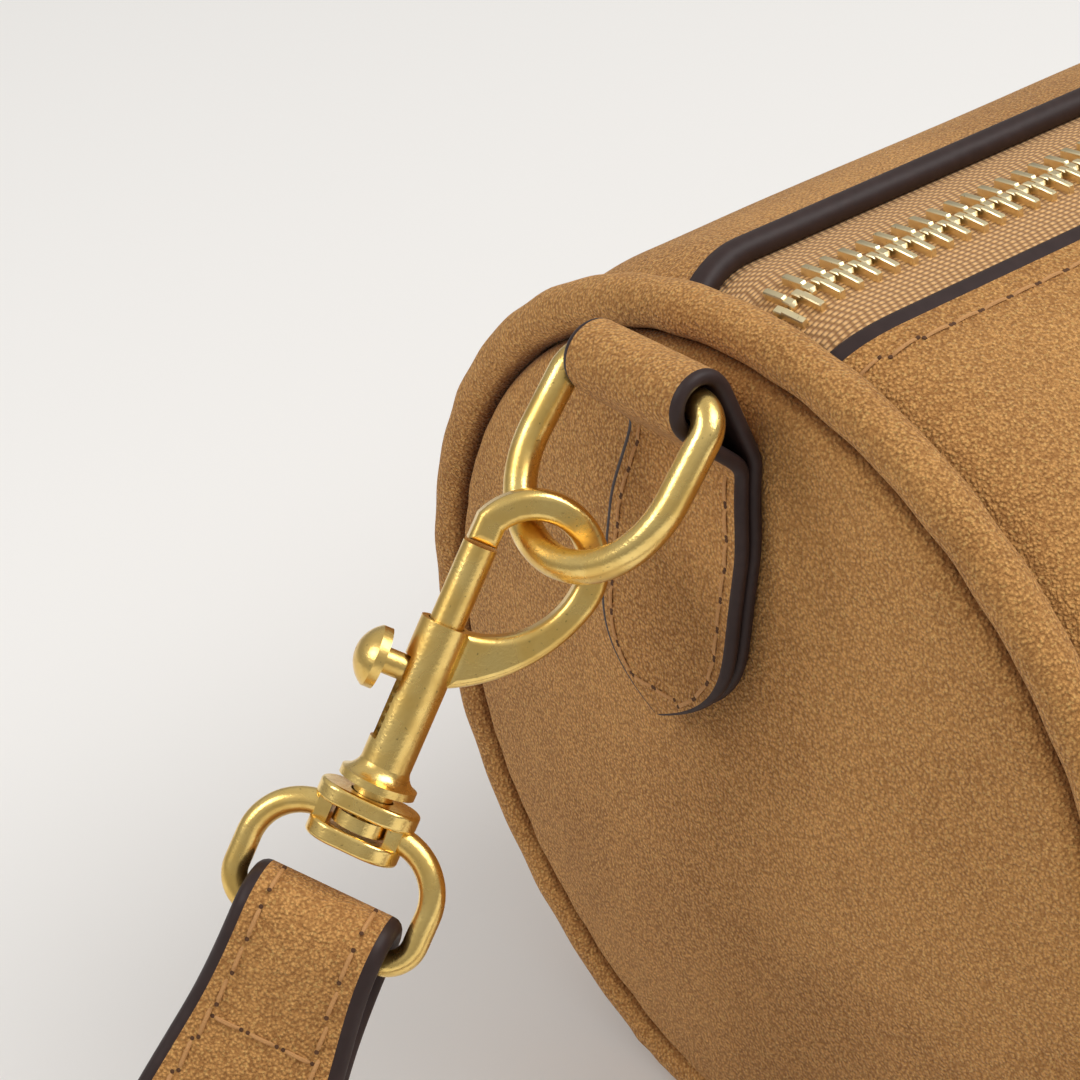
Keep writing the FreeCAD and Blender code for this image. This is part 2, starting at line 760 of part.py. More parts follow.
def sweep(start, heading, end):
    """The arc that leaves start along heading and reaches end."""
    chord = end - start
    half_turn = heading.getAngle(chord) / 2
    bow = unit(heading - chord * (heading.dot(chord) / chord.dot(chord)))
    return arc(start, start + chord / 2 + bow * (chord.Length / 2 * math.tan(half_turn)), end)


def hook_arm():
    """The flat arm: a round loop over the bolt's tip that sweeps down to the barrel."""
    tip_left = Vector(-HOOK_TIP_HALF, HOOK_TIP_HEIGHT, 0)
    tip_right = Vector(HOOK_TIP_HALF, HOOK_TIP_HEIGHT, 0)
    outer_start = loop_angle(HOOK_LOOP_OUTER, -HOOK_TIP_HALF)
    inner_start = loop_angle(HOOK_LOOP_INNER, HOOK_TIP_HALF)
    outer_stop = -HOOK_OUTER_EASE_ANGLE
    outer_middle = (outer_start + outer_stop) / 2
    inner_middle = inner_start / 2
    outer_leave = loop_spot(HOOK_LOOP_OUTER, outer_stop)
    inner_leave = loop_spot(HOOK_LOOP_INNER, 0)
    outer_root = Vector(HOOK_ROOT, -HOOK_ROOT_DEPTH, 0)
    inner_root = Vector(HOOK_ROOT, 0, 0)
    face = edges_face(
        [
            line(tip_right, tip_left),
            line(tip_left, loop_spot(HOOK_LOOP_OUTER, outer_start)),
            arc(
                loop_spot(HOOK_LOOP_OUTER, outer_start),
                loop_spot(HOOK_LOOP_OUTER, outer_middle),
                outer_leave,
            ),
            sweep(outer_leave, loop_heading(outer_stop), outer_root),
            line(outer_root, inner_root),
            sweep(inner_leave, loop_heading(0), inner_root),
            arc(
                inner_leave,
                loop_spot(HOOK_LOOP_INNER, inner_middle),
                loop_spot(HOOK_LOOP_INNER, inner_start),
            ),
            line(loop_spot(HOOK_LOOP_INNER, inner_start), tip_right),
        ]
    )
    face.translate(Vector(0, 0, -HOOK_THICKNESS / 2))
    plate = face.extrude(Vector(0, 0, HOOK_THICKNESS))
    rims = [edge for edge in plate.Edges if flat_rim(edge)]
    return plate.makeFillet(HOOK_EDGE_ROUND, rims)


def flat_rim(edge):
    """True for an edge that lies in one of the arm's two flat faces."""
    box = edge.BoundBox
    return box.ZLength < LAYER_GAP and abs(abs(box.ZMax) - HOOK_THICKNESS / 2) < LAYER_GAP


def hook_body():
    """The cast hook: barrel with its bore and slot, collar, neck and arm."""
    tube = BARREL_TUBE_RADIUS
    flare_foot = -BARREL_TUBE_LENGTH - COLLAR_FLARE
    waist = (tube + COLLAR_RADIUS) / 2 - COLLAR_FLARE / 4
    waist_height = (flare_foot - BARREL_TUBE_LENGTH) / 2
    neck_foot = WINDOW_TOP - FIT_GAP
    profile = edges_face(
        [
            line(Vector(0, 0, 0), Vector(tube, 0, 0)),
            line(Vector(tube, 0, 0), Vector(tube, -BARREL_TUBE_LENGTH, 0)),
            arc(
                Vector(tube, -BARREL_TUBE_LENGTH, 0),
                Vector(waist, waist_height, 0),
                Vector(COLLAR_RADIUS, flare_foot, 0),
            ),
            line(Vector(COLLAR_RADIUS, flare_foot, 0), Vector(COLLAR_RADIUS, COLLAR_FOOT, 0)),
            line(Vector(COLLAR_RADIUS, COLLAR_FOOT, 0), Vector(NECK_RADIUS, COLLAR_FOOT, 0)),
            line(Vector(NECK_RADIUS, COLLAR_FOOT, 0), Vector(NECK_RADIUS, neck_foot, 0)),
            line(Vector(NECK_RADIUS, neck_foot, 0), Vector(0, neck_foot, 0)),
            line(Vector(0, neck_foot, 0), Vector(0, 0, 0)),
        ]
    )
    barrel = profile.revolve(ORIGIN, AXIS_UP, 360)
    bore = upright(BORE_RADIUS, -BORE_DEPTH, OVERRUN)
    slot_half = KNOB_STEM_RADIUS + BORE_CLEARANCE
    slot_top = slot_half - KNOB_DEPTH
    slot_foot = -KNOB_DEPTH - BOLT_TRAVEL - slot_half
    corner = Vector(-BARREL_TUBE_RADIUS - OVERRUN, slot_foot, -slot_half)
    reach = BARREL_TUBE_RADIUS + OVERRUN
    slot = Part.makeBox(reach, slot_top - slot_foot, 2 * slot_half, corner)
    rivet_bore = upright(RIVET_SHANK_RADIUS + LAYER_GAP, neck_foot - OVERRUN, rivet_top() + FIT_GAP)
    body = fused([barrel, hook_arm()])
    return on_hook(body.cut(bore).cut(slot).cut(rivet_bore))


def rivet_top():
    return WINDOW_TOP - FIT_GAP + RIVET_SHANK_LENGTH


def swivel_rivet():
    """The rivet head in the swivel's window, with its shank up the neck."""
    head_top = WINDOW_TOP - (YOKE_WINDOW - RIVET_HEAD_THICKNESS) / 2
    head = upright(RIVET_HEAD_RADIUS, head_top - RIVET_HEAD_THICKNESS, head_top)
    shank = upright(RIVET_SHANK_RADIUS, head_top, rivet_top())
    return on_hook(fused([head, shank]))


def hook_bolt():
    """The bolt that closes the hook, bored on one side for the thumb knob."""
    rod = upright(BOLT_RADIUS, -BOLT_TAIL, HOOK_TIP_HEIGHT - BOLT_TIP_GAP)
    start = Vector(-BOLT_RADIUS - OVERRUN, -KNOB_DEPTH, 0)
    reach = OVERRUN + KNOB_TENON_DEPTH + LAYER_GAP
    hole = Part.makeCylinder(KNOB_TENON_RADIUS + LAYER_GAP, reach, start, Vector(1, 0, 0))
    return on_hook(rod.cut(hole))


def thumb_knob():
    """A mushroom knob on a stem, whose tenon sits in the bolt."""
    seat = BOLT_RADIUS + LAYER_GAP
    tenon = BOLT_RADIUS - KNOB_TENON_DEPTH
    rim = KNOB_HEAD_REACH + KNOB_HEAD_RIM
    end = KNOB_HEAD_REACH + KNOB_HEAD_THICKNESS
    dome = (KNOB_HEAD_RADIUS**2 + (end - rim) ** 2) / (2 * (end - rim))
    half_spread = math.asin(KNOB_HEAD_RADIUS / dome) / 2
    bulge = dome * math.sin(half_spread)
    bulge_reach = end - dome + dome * math.cos(half_spread)

    def spot(reach, radius):
        return Vector(-reach, radius, 0)

    face = edges_face(
        [
            line(spot(tenon, 0), spot(tenon, KNOB_TENON_RADIUS)),
            line(spot(tenon, KNOB_TENON_RADIUS), spot(seat, KNOB_TENON_RADIUS)),
            line(spot(seat, KNOB_TENON_RADIUS), spot(seat, KNOB_STEM_RADIUS)),
            line(spot(seat, KNOB_STEM_RADIUS), spot(KNOB_HEAD_REACH, KNOB_STEM_RADIUS)),
            line(spot(KNOB_HEAD_REACH, KNOB_STEM_RADIUS), spot(KNOB_HEAD_REACH, KNOB_HEAD_RADIUS)),
            line(spot(KNOB_HEAD_REACH, KNOB_HEAD_RADIUS), spot(rim, KNOB_HEAD_RADIUS)),
            arc(spot(rim, KNOB_HEAD_RADIUS), spot(bulge_reach, bulge), spot(end, 0)),
            line(spot(end, 0), spot(tenon, 0)),
        ]
    )
    knob = face.revolve(ORIGIN, Vector(1, 0, 0), 360)
    knob.translate(Vector(0, -KNOB_DEPTH, 0))
    return on_hook(knob)


def bolt_spring():
    """The spring behind the bolt, as a plain sleeve that fills its place in the bore."""
    low = FIT_GAP - BORE_DEPTH
    high = -BOLT_TAIL - FIT_GAP
    sleeve = upright(BOLT_RADIUS, low, high)
    return on_hook(sleeve.cut(upright(BOLT_RADIUS - SPRING_WALL, low, high)))


def yoke_plate(half_width, top):
    """A plate of the swivel: straight in front and behind, with half-round ends."""
    depth = YOKE_HALF_DEPTH
    flat = half_width - depth
    foot = top - YOKE_PLATE

    def spot(across, out):
        return Vector(across, foot, out)

    face = edges_face(
        [
            line(spot(-flat, depth), spot(flat, depth)),
            arc(spot(flat, depth), spot(half_width, 0), spot(flat, -depth)),
            line(spot(flat, -depth), spot(-flat, -depth)),
            arc(spot(-flat, -depth), spot(-half_width, 0), spot(-flat, depth)),
        ]
    )
    plate = face.extrude(AXIS_UP * YOKE_PLATE)
    rims = [edge for edge in plate.Edges if edge.BoundBox.YLength < LAYER_GAP]
    return plate.makeFillet(YOKE_EDGE_ROUND, rims)


def swivel_eye():
    """The swivel's window frame and the wire eye that carries the strap."""
    outer = YOKE_LOWER_HALF_WIDTH - YOKE_EDGE_ROUND
    post_low = WINDOW_FOOT - YOKE_PLATE / 2
    post_high = WINDOW_TOP + YOKE_PLATE / 2
    posts = []
    for start in (-outer, outer - YOKE_POST_WIDTH):
        corner = Vector(start, post_low, -YOKE_POST_DEPTH / 2)
        size = (YOKE_POST_WIDTH, post_high - post_low, YOKE_POST_DEPTH)
        posts.append(Part.makeBox(*size, corner))
    hole = upright(NECK_RADIUS + FIT_GAP * 2, WINDOW_TOP - FIT_GAP, YOKE_TOP + FIT_GAP)
    upper = yoke_plate(YOKE_HALF_WIDTH, YOKE_TOP).cut(hole)
    lower = yoke_plate(YOKE_LOWER_HALF_WIDTH, WINDOW_FOOT)
    return on_eye(fused([upper, lower] + posts + eye_wire(outer - YOKE_POST_WIDTH / 2)))


def eye_wire(root):
    """The eye's wire, from one post round the strap's bar to the other."""
    half = EYE_HALF_WIDTH
    wire = EYE_WIRE_RADIUS
    out = Vector(0, 0, 1)
    top_centre_height = EYE_ROOT - EYE_TOP_ROUND
    foot_centre_height = EYE_BAR + EYE_FOOT_ROUND
    runs = []
    for side in (-1, 1):
        top_across = side * (half - EYE_TOP_ROUND)
        foot_across = side * (half - EYE_FOOT_ROUND)
        start = Vector(top_across, EYE_ROOT, 0)
        top_centre = Vector(top_across, top_centre_height, 0)
        shoulder = Vector(side * half, top_centre_height, 0)
        knee = Vector(side * half, foot_centre_height, 0)
        foot_centre = Vector(foot_across, foot_centre_height, 0)
        runs.append(straight_tube(Vector(side * root, EYE_ROOT, 0), shoulder_start(start, side, root), wire))
        runs.append(bent_tube(start, top_centre, out, -90 * side, wire))
        runs.append(straight_tube(shoulder, knee, wire))
        runs.append(bent_tube(knee, foot_centre, out, -90 * side, wire))
    reach = half - EYE_FOOT_ROUND
    runs.append(straight_tube(Vector(-reach, EYE_BAR, 0), Vector(reach, EYE_BAR, 0), wire))
    return runs


def shoulder_start(start, side, root):
    """The end of the wire's level run out of its post."""
    return start if abs(start.x) > root else Vector(side * (root + EYE_WIRE_RADIUS), EYE_ROOT, 0)


# Strap

EYE_CENTRE = HOOK_ORIGIN + HOOK_UP * EYE_BAR
STRAP_OUT = EYE_ACROSS.cross(HOOK_UP)
STRAP_DOWN = HOOK_UP * -1
FOLD_RADIUS = EYE_WIRE_RADIUS + STRAP_FOLD_CLEARANCE + STRAP_THICKNESS / 2
SEWN_OFFSET = (STRAP_THICKNESS + STRAP_SEWN_GAP) / 2


def ease(share):
    return share * share * (3 - 2 * share)


def strap_width(distance):
    """The strap's width at that distance from the eye's bar."""
    share = min(max(distance / STRAP_TAPER_LENGTH, 0), 1)
    return STRAP_END_WIDTH + (STRAP_WIDTH - STRAP_END_WIDTH) * ease(share)


def layer_station(distance, side):
    """Centre, width direction, outer side and width of a layer below the bar."""
    share = ease(min(distance / STRAP_PINCH, 1))
    offset = FOLD_RADIUS + (SEWN_OFFSET - FOLD_RADIUS) * share
    centre = EYE_CENTRE + STRAP_DOWN * distance + STRAP_OUT * (side * offset)
    return centre, EYE_ACROSS, STRAP_OUT * side, strap_width(distance)


def fold_station(share):
    """A station round the bar, from the strap's back to its front."""
    swing = math.pi * share
    outer = HOOK_UP * math.sin(swing) - STRAP_OUT * math.cos(swing)
    return EYE_CENTRE + outer * FOLD_RADIUS, EYE_ACROSS, outer, STRAP_END_WIDTH


def banked(heading):
    """The strap's outer side where it lies on the ground and leans to the inside."""
    outward = unit(heading.cross(UP))
    return outward * math.sin(degrees(STRAP_LEAN_ANGLE)) + UP * math.cos(degrees(STRAP_LEAN_ANGLE))


def curve(start, start_pull, end, end_pull, share):
    """Point and heading of a cubic that leaves start and reaches end with those pulls."""
    s = share
    point = start * (2 * s**3 - 3 * s**2 + 1) + start_pull * (s**3 - 2 * s**2 + s)
    point = point + end * (3 * s**2 - 2 * s**3) + end_pull * (s**3 - s**2)
    heading = start * (6 * s**2 - 6 * s) + start_pull * (3 * s**2 - 4 * s + 1)
    heading = heading + end * (6 * s - 6 * s**2) + end_pull * (3 * s**2 - 2 * s)
    return point, unit(heading)


def run_station(point, heading, outer, distance):
    outer = unit(outer - heading * outer.dot(heading))
    return point, outer.cross(heading), outer, strap_width(distance)


def left_stations():
    """The strap's stations from its sewn end behind the left eye to the middle in front."""
    lean = degrees(STRAP_LEAN_ANGLE)
    height = STRAP_WIDTH / 2 * math.sin(lean) + STRAP_THICKNESS / 2 * math.cos(lean)
    stations = [layer_station(distance, -1) for distance in (STRAP_LAP, STRAP_PINCH, STRAP_PINCH / 2)]
    stations += [fold_station(step / FOLD_STEPS) for step in range(FOLD_STEPS + 1)]
    stations += [layer_station(distance, 1) for distance in (STRAP_PINCH / 2, STRAP_PINCH, STRAP_LAP)]
    leave = layer_station(STRAP_LAP, 1)[0]
    side = Vector(EYE_CENTRE.x - STRAP_SIDE_OUT, -STRAP_SIDE_FRONT, height)
    front = Vector(0, -BARREL_RADIUS - STRAP_FRONT_GAP, height)
    for step in range(1, DESCENT_STEPS + 1):
        share = step / DESCENT_STEPS
        pulls = STRAP_DOWN * STRAP_DESCENT_PULL, BACK * -STRAP_SIDE_PULL
        point, heading = curve(leave, pulls[0], side, pulls[1], share)
        outer = STRAP_OUT * (1 - ease(share)) + banked(heading) * ease(share)
        distance = STRAP_LAP + (point - leave).Length
        stations.append(run_station(point, heading, outer, distance))
    for step in range(1, FLOOR_STEPS + 1):
        share = step / FLOOR_STEPS
        pulls = BACK * -STRAP_SIDE_PULL, ALONG * STRAP_FRONT_PULL
        point, heading = curve(side, pulls[0], front, pulls[1], share)
        stations.append(run_station(point, heading, banked(heading), STRAP_TAPER_LENGTH))
    return stations


def strap():
    """The whole strap, a ruled solid through its stations and their mirror images."""
    def flip(vector):
        return Vector(-vector.x, vector.y, vector.z)

    stations = left_stations()
    for centre, across, outer, width in reversed(stations[:-1]):
        stations.append((flip(centre), flip(across), flip(outer), width))
    wires = []
    for centre, across, outer, width in stations:
        corners = []
        for across_side, outer_side in ((1, 1), (1, -1), (-1, -1), (-1, 1)):
            offset = across * (across_side * width / 2)
            corners.append(centre + offset + outer * (outer_side * STRAP_THICKNESS / 2))
        wires.append(Part.makePolygon(corners + corners[:1]))
    return Part.makeLoft(wires, True, True)


# Nodes

MIRRORED = {
    "end_panel": end_panel,
    "end_pad": end_pad,
    "end_lining": end_lining,
    "piping": piping_cover,
    "piping_cord": piping_cord,
    "ring_tab": ring_tab,
    "d_ring": d_ring,
    "hook_body": hook_body,
    "hook_bolt": hook_bolt,
    "thumb_knob": thumb_knob,
    "bolt_spring": bolt_spring,
    "swivel_eye": swivel_eye,
    "swivel_rivet": swivel_rivet,
}

SINGLE = {
    "body_panel": body_panel,
    "body_stiffener": body_stiffener,
    "body_lining": body_lining,
    "zip_slider": zip_slider,
    "zip_pull": zip_pull,
    "strap": strap,
}


def main():
    os.makedirs("parts", exist_ok=True)
    nodes = {name: build() for name, build in SINGLE.items()}
    for word, side in (("back", 1), ("front", -1)):
        nodes[f"zip_tape_{word}"] = zip_tape(side)
        nodes[f"zip_teeth_{word}"] = zip_row(side)
    for name, build in MIRRORED.items():
        shape = build()
        nodes[f"left_{name}"] = shape
        nodes[f"right_{name}"] = mirrored(shape)
    for name, shape in nodes.items():
        print(name, len(shape.Solids), round(shape.Volume, 1), shape.isValid())
        shape.exportStep(f"parts/{name}.step")


main()
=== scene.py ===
import json
from collections import namedtuple

import bmesh
import bpy
import numpy as np
from bpy.props import FloatProperty, FloatVectorProperty, PointerProperty
from mathutils import Matrix


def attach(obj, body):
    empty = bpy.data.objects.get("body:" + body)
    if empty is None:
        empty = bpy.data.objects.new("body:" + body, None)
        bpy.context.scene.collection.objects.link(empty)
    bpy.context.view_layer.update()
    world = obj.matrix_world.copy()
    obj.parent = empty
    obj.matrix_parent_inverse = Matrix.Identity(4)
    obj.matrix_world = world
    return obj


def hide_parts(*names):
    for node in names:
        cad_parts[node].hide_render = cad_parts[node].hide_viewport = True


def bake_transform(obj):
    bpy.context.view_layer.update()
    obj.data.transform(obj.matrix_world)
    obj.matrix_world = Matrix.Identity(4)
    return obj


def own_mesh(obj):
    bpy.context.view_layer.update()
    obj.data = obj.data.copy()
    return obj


bl_info = {
    "name": "Barrel bag",
    "version": (1, 0, 0),
    "blender": (4, 5, 0),
    "location": "View3D > Sidebar > Bag",
    "description": "Builds a nubuck barrel bag with its snap hooks and shoulder strap",
    "category": "Object",
}

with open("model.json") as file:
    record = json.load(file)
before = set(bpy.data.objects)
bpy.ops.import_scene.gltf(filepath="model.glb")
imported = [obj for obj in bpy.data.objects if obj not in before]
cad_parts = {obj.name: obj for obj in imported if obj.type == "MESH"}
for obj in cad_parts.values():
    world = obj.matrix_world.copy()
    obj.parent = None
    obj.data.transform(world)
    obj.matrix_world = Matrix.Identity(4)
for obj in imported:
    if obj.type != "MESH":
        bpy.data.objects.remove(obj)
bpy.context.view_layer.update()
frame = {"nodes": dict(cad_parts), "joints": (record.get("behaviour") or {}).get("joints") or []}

# Lengths are in millimetres and angles in radians. X runs along the barrel, Y to the back, Z up.
MM = 0.001
ALONG, BACK, UP = np.eye(3)
SIDES = {"left": np.array([1.0, 1.0, 1.0]), "right": np.array([-1.0, 1.0, 1.0])}
JOINTS = {joint["name"]: joint for joint in frame["joints"]}


def joint_place(name):
    return np.array(JOINTS[name]["pos_m"]) / MM


# Barrel
SEAM_X = 100.0
BARREL_RADIUS = 57.5
AXIS_HEIGHT = 54.5
BODY_END = 99.45
SHOULDER_LENGTH = 12.0
SHOULDER_DROP = 5.5
SHOULDER_ROUND = (SHOULDER_LENGTH**2 + SHOULDER_DROP**2) / (2.0 * SHOULDER_DROP)
SHOULDER_X = BODY_END - SHOULDER_LENGTH
SHOULDER_LIMIT_SHARE = 0.98
LEATHER = 2.6
STIFFENER = 1.2
LINING = 0.6
LINING_PLAY = 1.0
LINING_ROUND_LAP = 2.0
LAYER_GAP = 0.05
EDGE_BEAD = 1.5
EDGE_PAINT = 1.0
ZIP_HALF_OPENING = 11.0
ZIP_END_TAPER = 1.6
ZIP_TAPER_LENGTH = 12.0
BASE_SOFTNESS = 1.5
# Length of the painted shade on the body next to each seam
SEAM_SHADE = 2.0

# Slack in the leather: each wave's height, its length and start along, its lobes and start round.
# It dies out over a length toward the seams and over an angle toward the zip.
SLACK_WAVES = ((0.35, 17.0, 1.1, 2.0, 0.4), (0.25, 9.0, 0.0, 5.0, 1.3))
SLACK_FADE_LENGTH = 25.0
SLACK_FADE_ANGLE = 0.9
SLACK_FADE_START = 0.135

# Piping and end panels. A ripple has a height, a count of waves round the end and a start,
# and a ramp has its start and its length. The piping's ramps are shares of its radius.
PIPING_RING_RADIUS = 55.0
PIPING_RADIUS = 2.8
PIPING_BASE_ROUND = 25.0
PIPING_RIPPLES = ((0.05, 31.0, 1.0), (0.05, 47.0, 0.0))
# Painted shade on the piping's sides that face the end panel and the body
PIPING_SHADE_INWARD = (0.6, 0.35)
PIPING_SHADE_BODY = (0.75, 0.25)
DOME_HEIGHT = 7.5
DOME_RIM_RADIUS = 52.2
DOME_RIM_ROUND = 3.4
DOME_RIM_SET_BACK = 0.5
DOME_PUCKERS = ((0.05, 64.0, 0.0), (0.05, 23.0, 0.7), (0.05, 37.0, 2.0))
DOME_PUCKER_RAMP = (38.0, 12.0)
DOME_PUCKER_DEPTH = 1.5
DOME_SLACK = ((0.3, 3.0, 0.5),)
DOME_SLACK_INNER = (0.0, 30.0)
DOME_SLACK_OUTER = (-50.0, 15.0)
# Painted shade on the dome's rim next to the piping
DOME_SHADE_RAMP = (50.9, 1.2)
SEAM_INNER = 45.2
DOME_BACK_RADII = (SEAM_INNER, 20.0, 0.5)
PANEL_BACK = 0.55
DOME_APEX = DOME_HEIGHT + DOME_RIM_SET_BACK
RIM_CENTRE = DOME_RIM_RADIUS - DOME_RIM_ROUND
CROWN_RADIUS = (RIM_CENTRE**2 + DOME_APEX**2 - DOME_RIM_ROUND**2) / (2.0 * (DOME_APEX - DOME_RIM_ROUND))
CROWN_CENTRE = DOME_HEIGHT - CROWN_RADIUS

# Zip
TAPE_THICKNESS = 0.8
TAPE_LAP = 7.0
TAPE_PARTING = 0.25
TAPE_MIDDLE = 108.95
TOOTH_PITCH = 2.54
TOOTH_THICKNESS = 1.0
TOOTH_HEIGHT = 3.0
TOOTH_CUT = 0.12
TOOTH_CREASE = np.radians(30.0)
CHAIN_HALF_WIDTH = 3.7
CHAIN_START = -97.0
CHAIN_END = 78.5
CHAIN_ROUND = SHOULDER_ROUND - LEATHER - LAYER_GAP - TAPE_THICKNESS / 2.0

# Sections of a tooth: place across the chain, and how much it is thinner, lower on top, higher below
TOOTH_LEG = (
    (0.5, 0.16, 0.2, 0.2),
    (0.75, 0.08, 0.0, 0.0),
    (CHAIN_HALF_WIDTH - 0.2, 0.08, 0.2, 0.0),
    (CHAIN_HALF_WIDTH, 0.16, 0.3, 0.2),
)
TOOTH_HEAD = ((-0.9, 0.2, 0.65, 0.65), (-0.6, 0.0, 0.25, 0.25), (0.3, 0.0, 0.2, 0.2), (0.8, 0.1, 0.3, 0.3))

# Ring tabs and D-rings
TAB_LEATHER = 1.6
TAB_WIDTH = 17.8
TAB_TIP_WIDTH = 2.0
TAB_TIP_HEIGHT = 11.4
TAB_SHOULDER_HEIGHT = 26.0
TAB_SEWN_HEIGHT = 44.5
TAB_ROUNDNESS = 3.2
TAB_FLARE = 1.7
TAB_FLARE_LENGTH = 11.0
TAB_LEAN = np.radians(7.0)
TAB_PAINT = 0.12
TAB_ROW = 2.2
TAB_ROW_FOOT = 3.2
TAB_ROW_TOP = 0.5
TAB_PITCH_SHARE = 0.9
RING_WIRE_RADIUS = 1.6
RING_CLEARANCE = 0.7
RING_POLISH = 0.12
RING_HALF_WIDTH = 10.8
RING_HEIGHT = 20.0
RING_CORNER = 3.0
RING_SLOPE = np.radians(48.0)
RING_AXIS = joint_place("left_ring_swing")

# Snap hooks and swivel eyes
HOOK_ORIGIN = joint_place("left_eye_swivel")
HOOK_UP = np.array(JOINTS["left_eye_swivel"]["axis"], float)
TOWARD_BAG = np.cross(BACK, HOOK_UP)
EYE_TURN = np.radians(38.0)
EYE_ACROSS = -BACK * np.cos(EYE_TURN) + TOWARD_BAG * np.sin(EYE_TURN)
EYE_BAR = -34.1
EYE_CENTRE = HOOK_ORIGIN + HOOK_UP * EYE_BAR
EYE_WIRE_RADIUS = 1.35
SPRING_LOW = -14.7
SPRING_HIGH = -7.6
SPRING_RADIUS = 1.5
SPRING_WIRE = 0.28
SPRING_TURNS = 6

# Strap
STRAP_THICKNESS = 2.6
STRAP_WIDTH = 22.0
STRAP_END_WIDTH = 16.2
STRAP_TAPER_LENGTH = 32.0
STRAP_FOLD_CLEARANCE = 0.85
STRAP_LAP = 26.0
STRAP_PINCH = 12.0
STRAP_SEWN_GAP = 0.2
STRAP_LEAN = np.radians(50.0)
STRAP_SIDE_OUT = 53.0
STRAP_SIDE_FRONT = 45.0
STRAP_FRONT = 135.0
STRAP_DESCENT_PULL = 62.0
STRAP_SIDE_PULL = 95.0
STRAP_FRONT_PULL = 210.0
STRAP_LYING_SHARE = 0.3
STRAP_CROSS_ROW = 11.5
STRAP_CROSS_PITCH_SHARE = 0.9
STRAP_PAINT = 0.12
STRAP_ROW = 3.0
STRAP_OUT = np.cross(EYE_ACROSS, HOOK_UP)
FOLD_RADIUS = EYE_WIRE_RADIUS + STRAP_FOLD_CLEARANCE + STRAP_THICKNESS / 2.0
SEWN_OFFSET = (STRAP_THICKNESS + STRAP_SEWN_GAP) / 2.0
# Where the strap leaves its sewn lap, lands at the side and lies in front
LYING_HEIGHT = STRAP_WIDTH / 2.0 * np.sin(STRAP_LEAN) + STRAP_THICKNESS / 2.0 * np.cos(STRAP_LEAN)
STRAP_LEAVES = EYE_CENTRE - HOOK_UP * STRAP_LAP + STRAP_OUT * SEWN_OFFSET
STRAP_LANDS = np.array([EYE_CENTRE[0] - STRAP_SIDE_OUT, -STRAP_SIDE_FRONT, LYING_HEIGHT])
STRAP_MIDDLE = np.array([0.0, -STRAP_FRONT, LYING_HEIGHT])

# Painted edges and sewing. A stitch's length is a share of its pitch, a thread's shares are of its thickness.
BEAD_SWING = np.radians([82.0, 62.0, 42.0, 20.0, 0.0])
CREASE = np.radians(50.0)
STITCH_LENGTH_SHARE = 0.9
THREAD_LIFT_SHARE = 0.42
THREAD_DIP_SHARE = 0.85
THREAD_TAPER_SHARE = 0.75
THREAD_FLAT_SHARE = 0.7
# Needle holes are flat dark discs: their colour is painted shade in the holes
HOLE_RADII = 0.26 * np.array([1.0, 0.9, 0.3])
HOLE_LEVELS = np.array([-0.06, 0.03, 0.05])
EDGE_ROW = 3.0
EDGE_ROW_INSET = 4.0
SEAM_STEP = 0.2

# Materials of a leather piece, and the slots that they take
LEATHER_SET = ("Nubuck", "Edge paint", "Thread", "Needle hole")
PAINT_SLOT, THREAD_SLOT, HOLE_SLOT = 1, 2, 3


# Arithmetic of curves and surfaces

def unit(vectors):
    return vectors / np.linalg.norm(vectors, axis=-1, keepdims=True)


def xyz(x, y, z):
    """Points from arrays of X, Y and Z, spread over one another."""
    return np.stack(np.broadcast_arrays(x, y, z), axis=-1)


def ramp(value, start, length):
    """A smooth step from 0 at start to 1 a length later: three squares less two cubes of the share."""
    share = np.clip((value - start) / length, 0.0, 1.0)
    return share * share * (3.0 - 2.0 * share)


def round_turn(count):
    """Even angles round a circle, in radians."""
    return np.linspace(0.0, 2.0 * np.pi, count, endpoint=False)


def ripple(turn, waves):
    """The sum of sine waves round a turn, each with its height, count and start."""
    return sum(height * np.sin(count * turn + start) for height, count, start in waves)


def rows(*parts):
    """Points joined end to end, leaving out each part's first where it repeats the last."""
    joined = [parts[0]]
    for part in parts[1:]:
        joined.append(part[1:] if np.allclose(part[0], joined[-1][-1]) else part)
    return np.concatenate(joined)


def arc_points(centre, start, normal, angle, count):
    """Points from start round the axis normal through centre, by angle in radians."""
    spoke = start - centre
    side = np.cross(normal, spoke)
    turn = np.linspace(0.0, angle, count)[:, None]
    return centre + spoke * np.cos(turn) + side * np.sin(turn)


def straight_points(start, end, count):
    return start + (end - start) * np.linspace(0.0, 1.0, count)[:, None]


def distances(points):
    """Distance along a line of points, from its first."""
    steps = np.linalg.norm(np.diff(points, axis=0), axis=1)
    return np.concatenate([[0.0], np.cumsum(steps)])


def spaced(points, values, at):
    """The values, one row for each point, read at those distances along the line."""
    along = distances(points)
    return np.stack([np.interp(at, along, column) for column in values.T], axis=-1)


def softened(points, passes):
    """A line with its corners eased by averaging each point with its neighbours."""
    for _ in range(passes):
        inner = (points[:-2] + 2.0 * points[1:-1] + points[2:]) / 4.0
        points = np.concatenate([points[:1], inner, points[-1:]])
    return points


def square_to(outer, heading):
    """The outer directions with their share along the heading taken off."""
    return unit(outer - heading * np.sum(outer * heading, axis=1, keepdims=True))


def grid_normals(points):
    """Unit normals of a grid, from the cross product of its two directions."""
    return unit(np.cross(np.gradient(points, axis=0), np.gradient(points, axis=1)))


# Meshes

# A patch's shade is the painted shade of the seam grooves at its points, 0 where there is none
Patch = namedtuple("Patch", "points quads uv slots caps shade", defaults=(0.0,))


def grid_lengths(points, axis):
    """Mean distance along one direction of a grid, with the step that would close it."""
    steps = np.linalg.norm(np.roll(points, -1, axis) - points, axis=2)
    return np.concatenate([[0.0], np.cumsum(steps.mean(axis=1 - axis))])


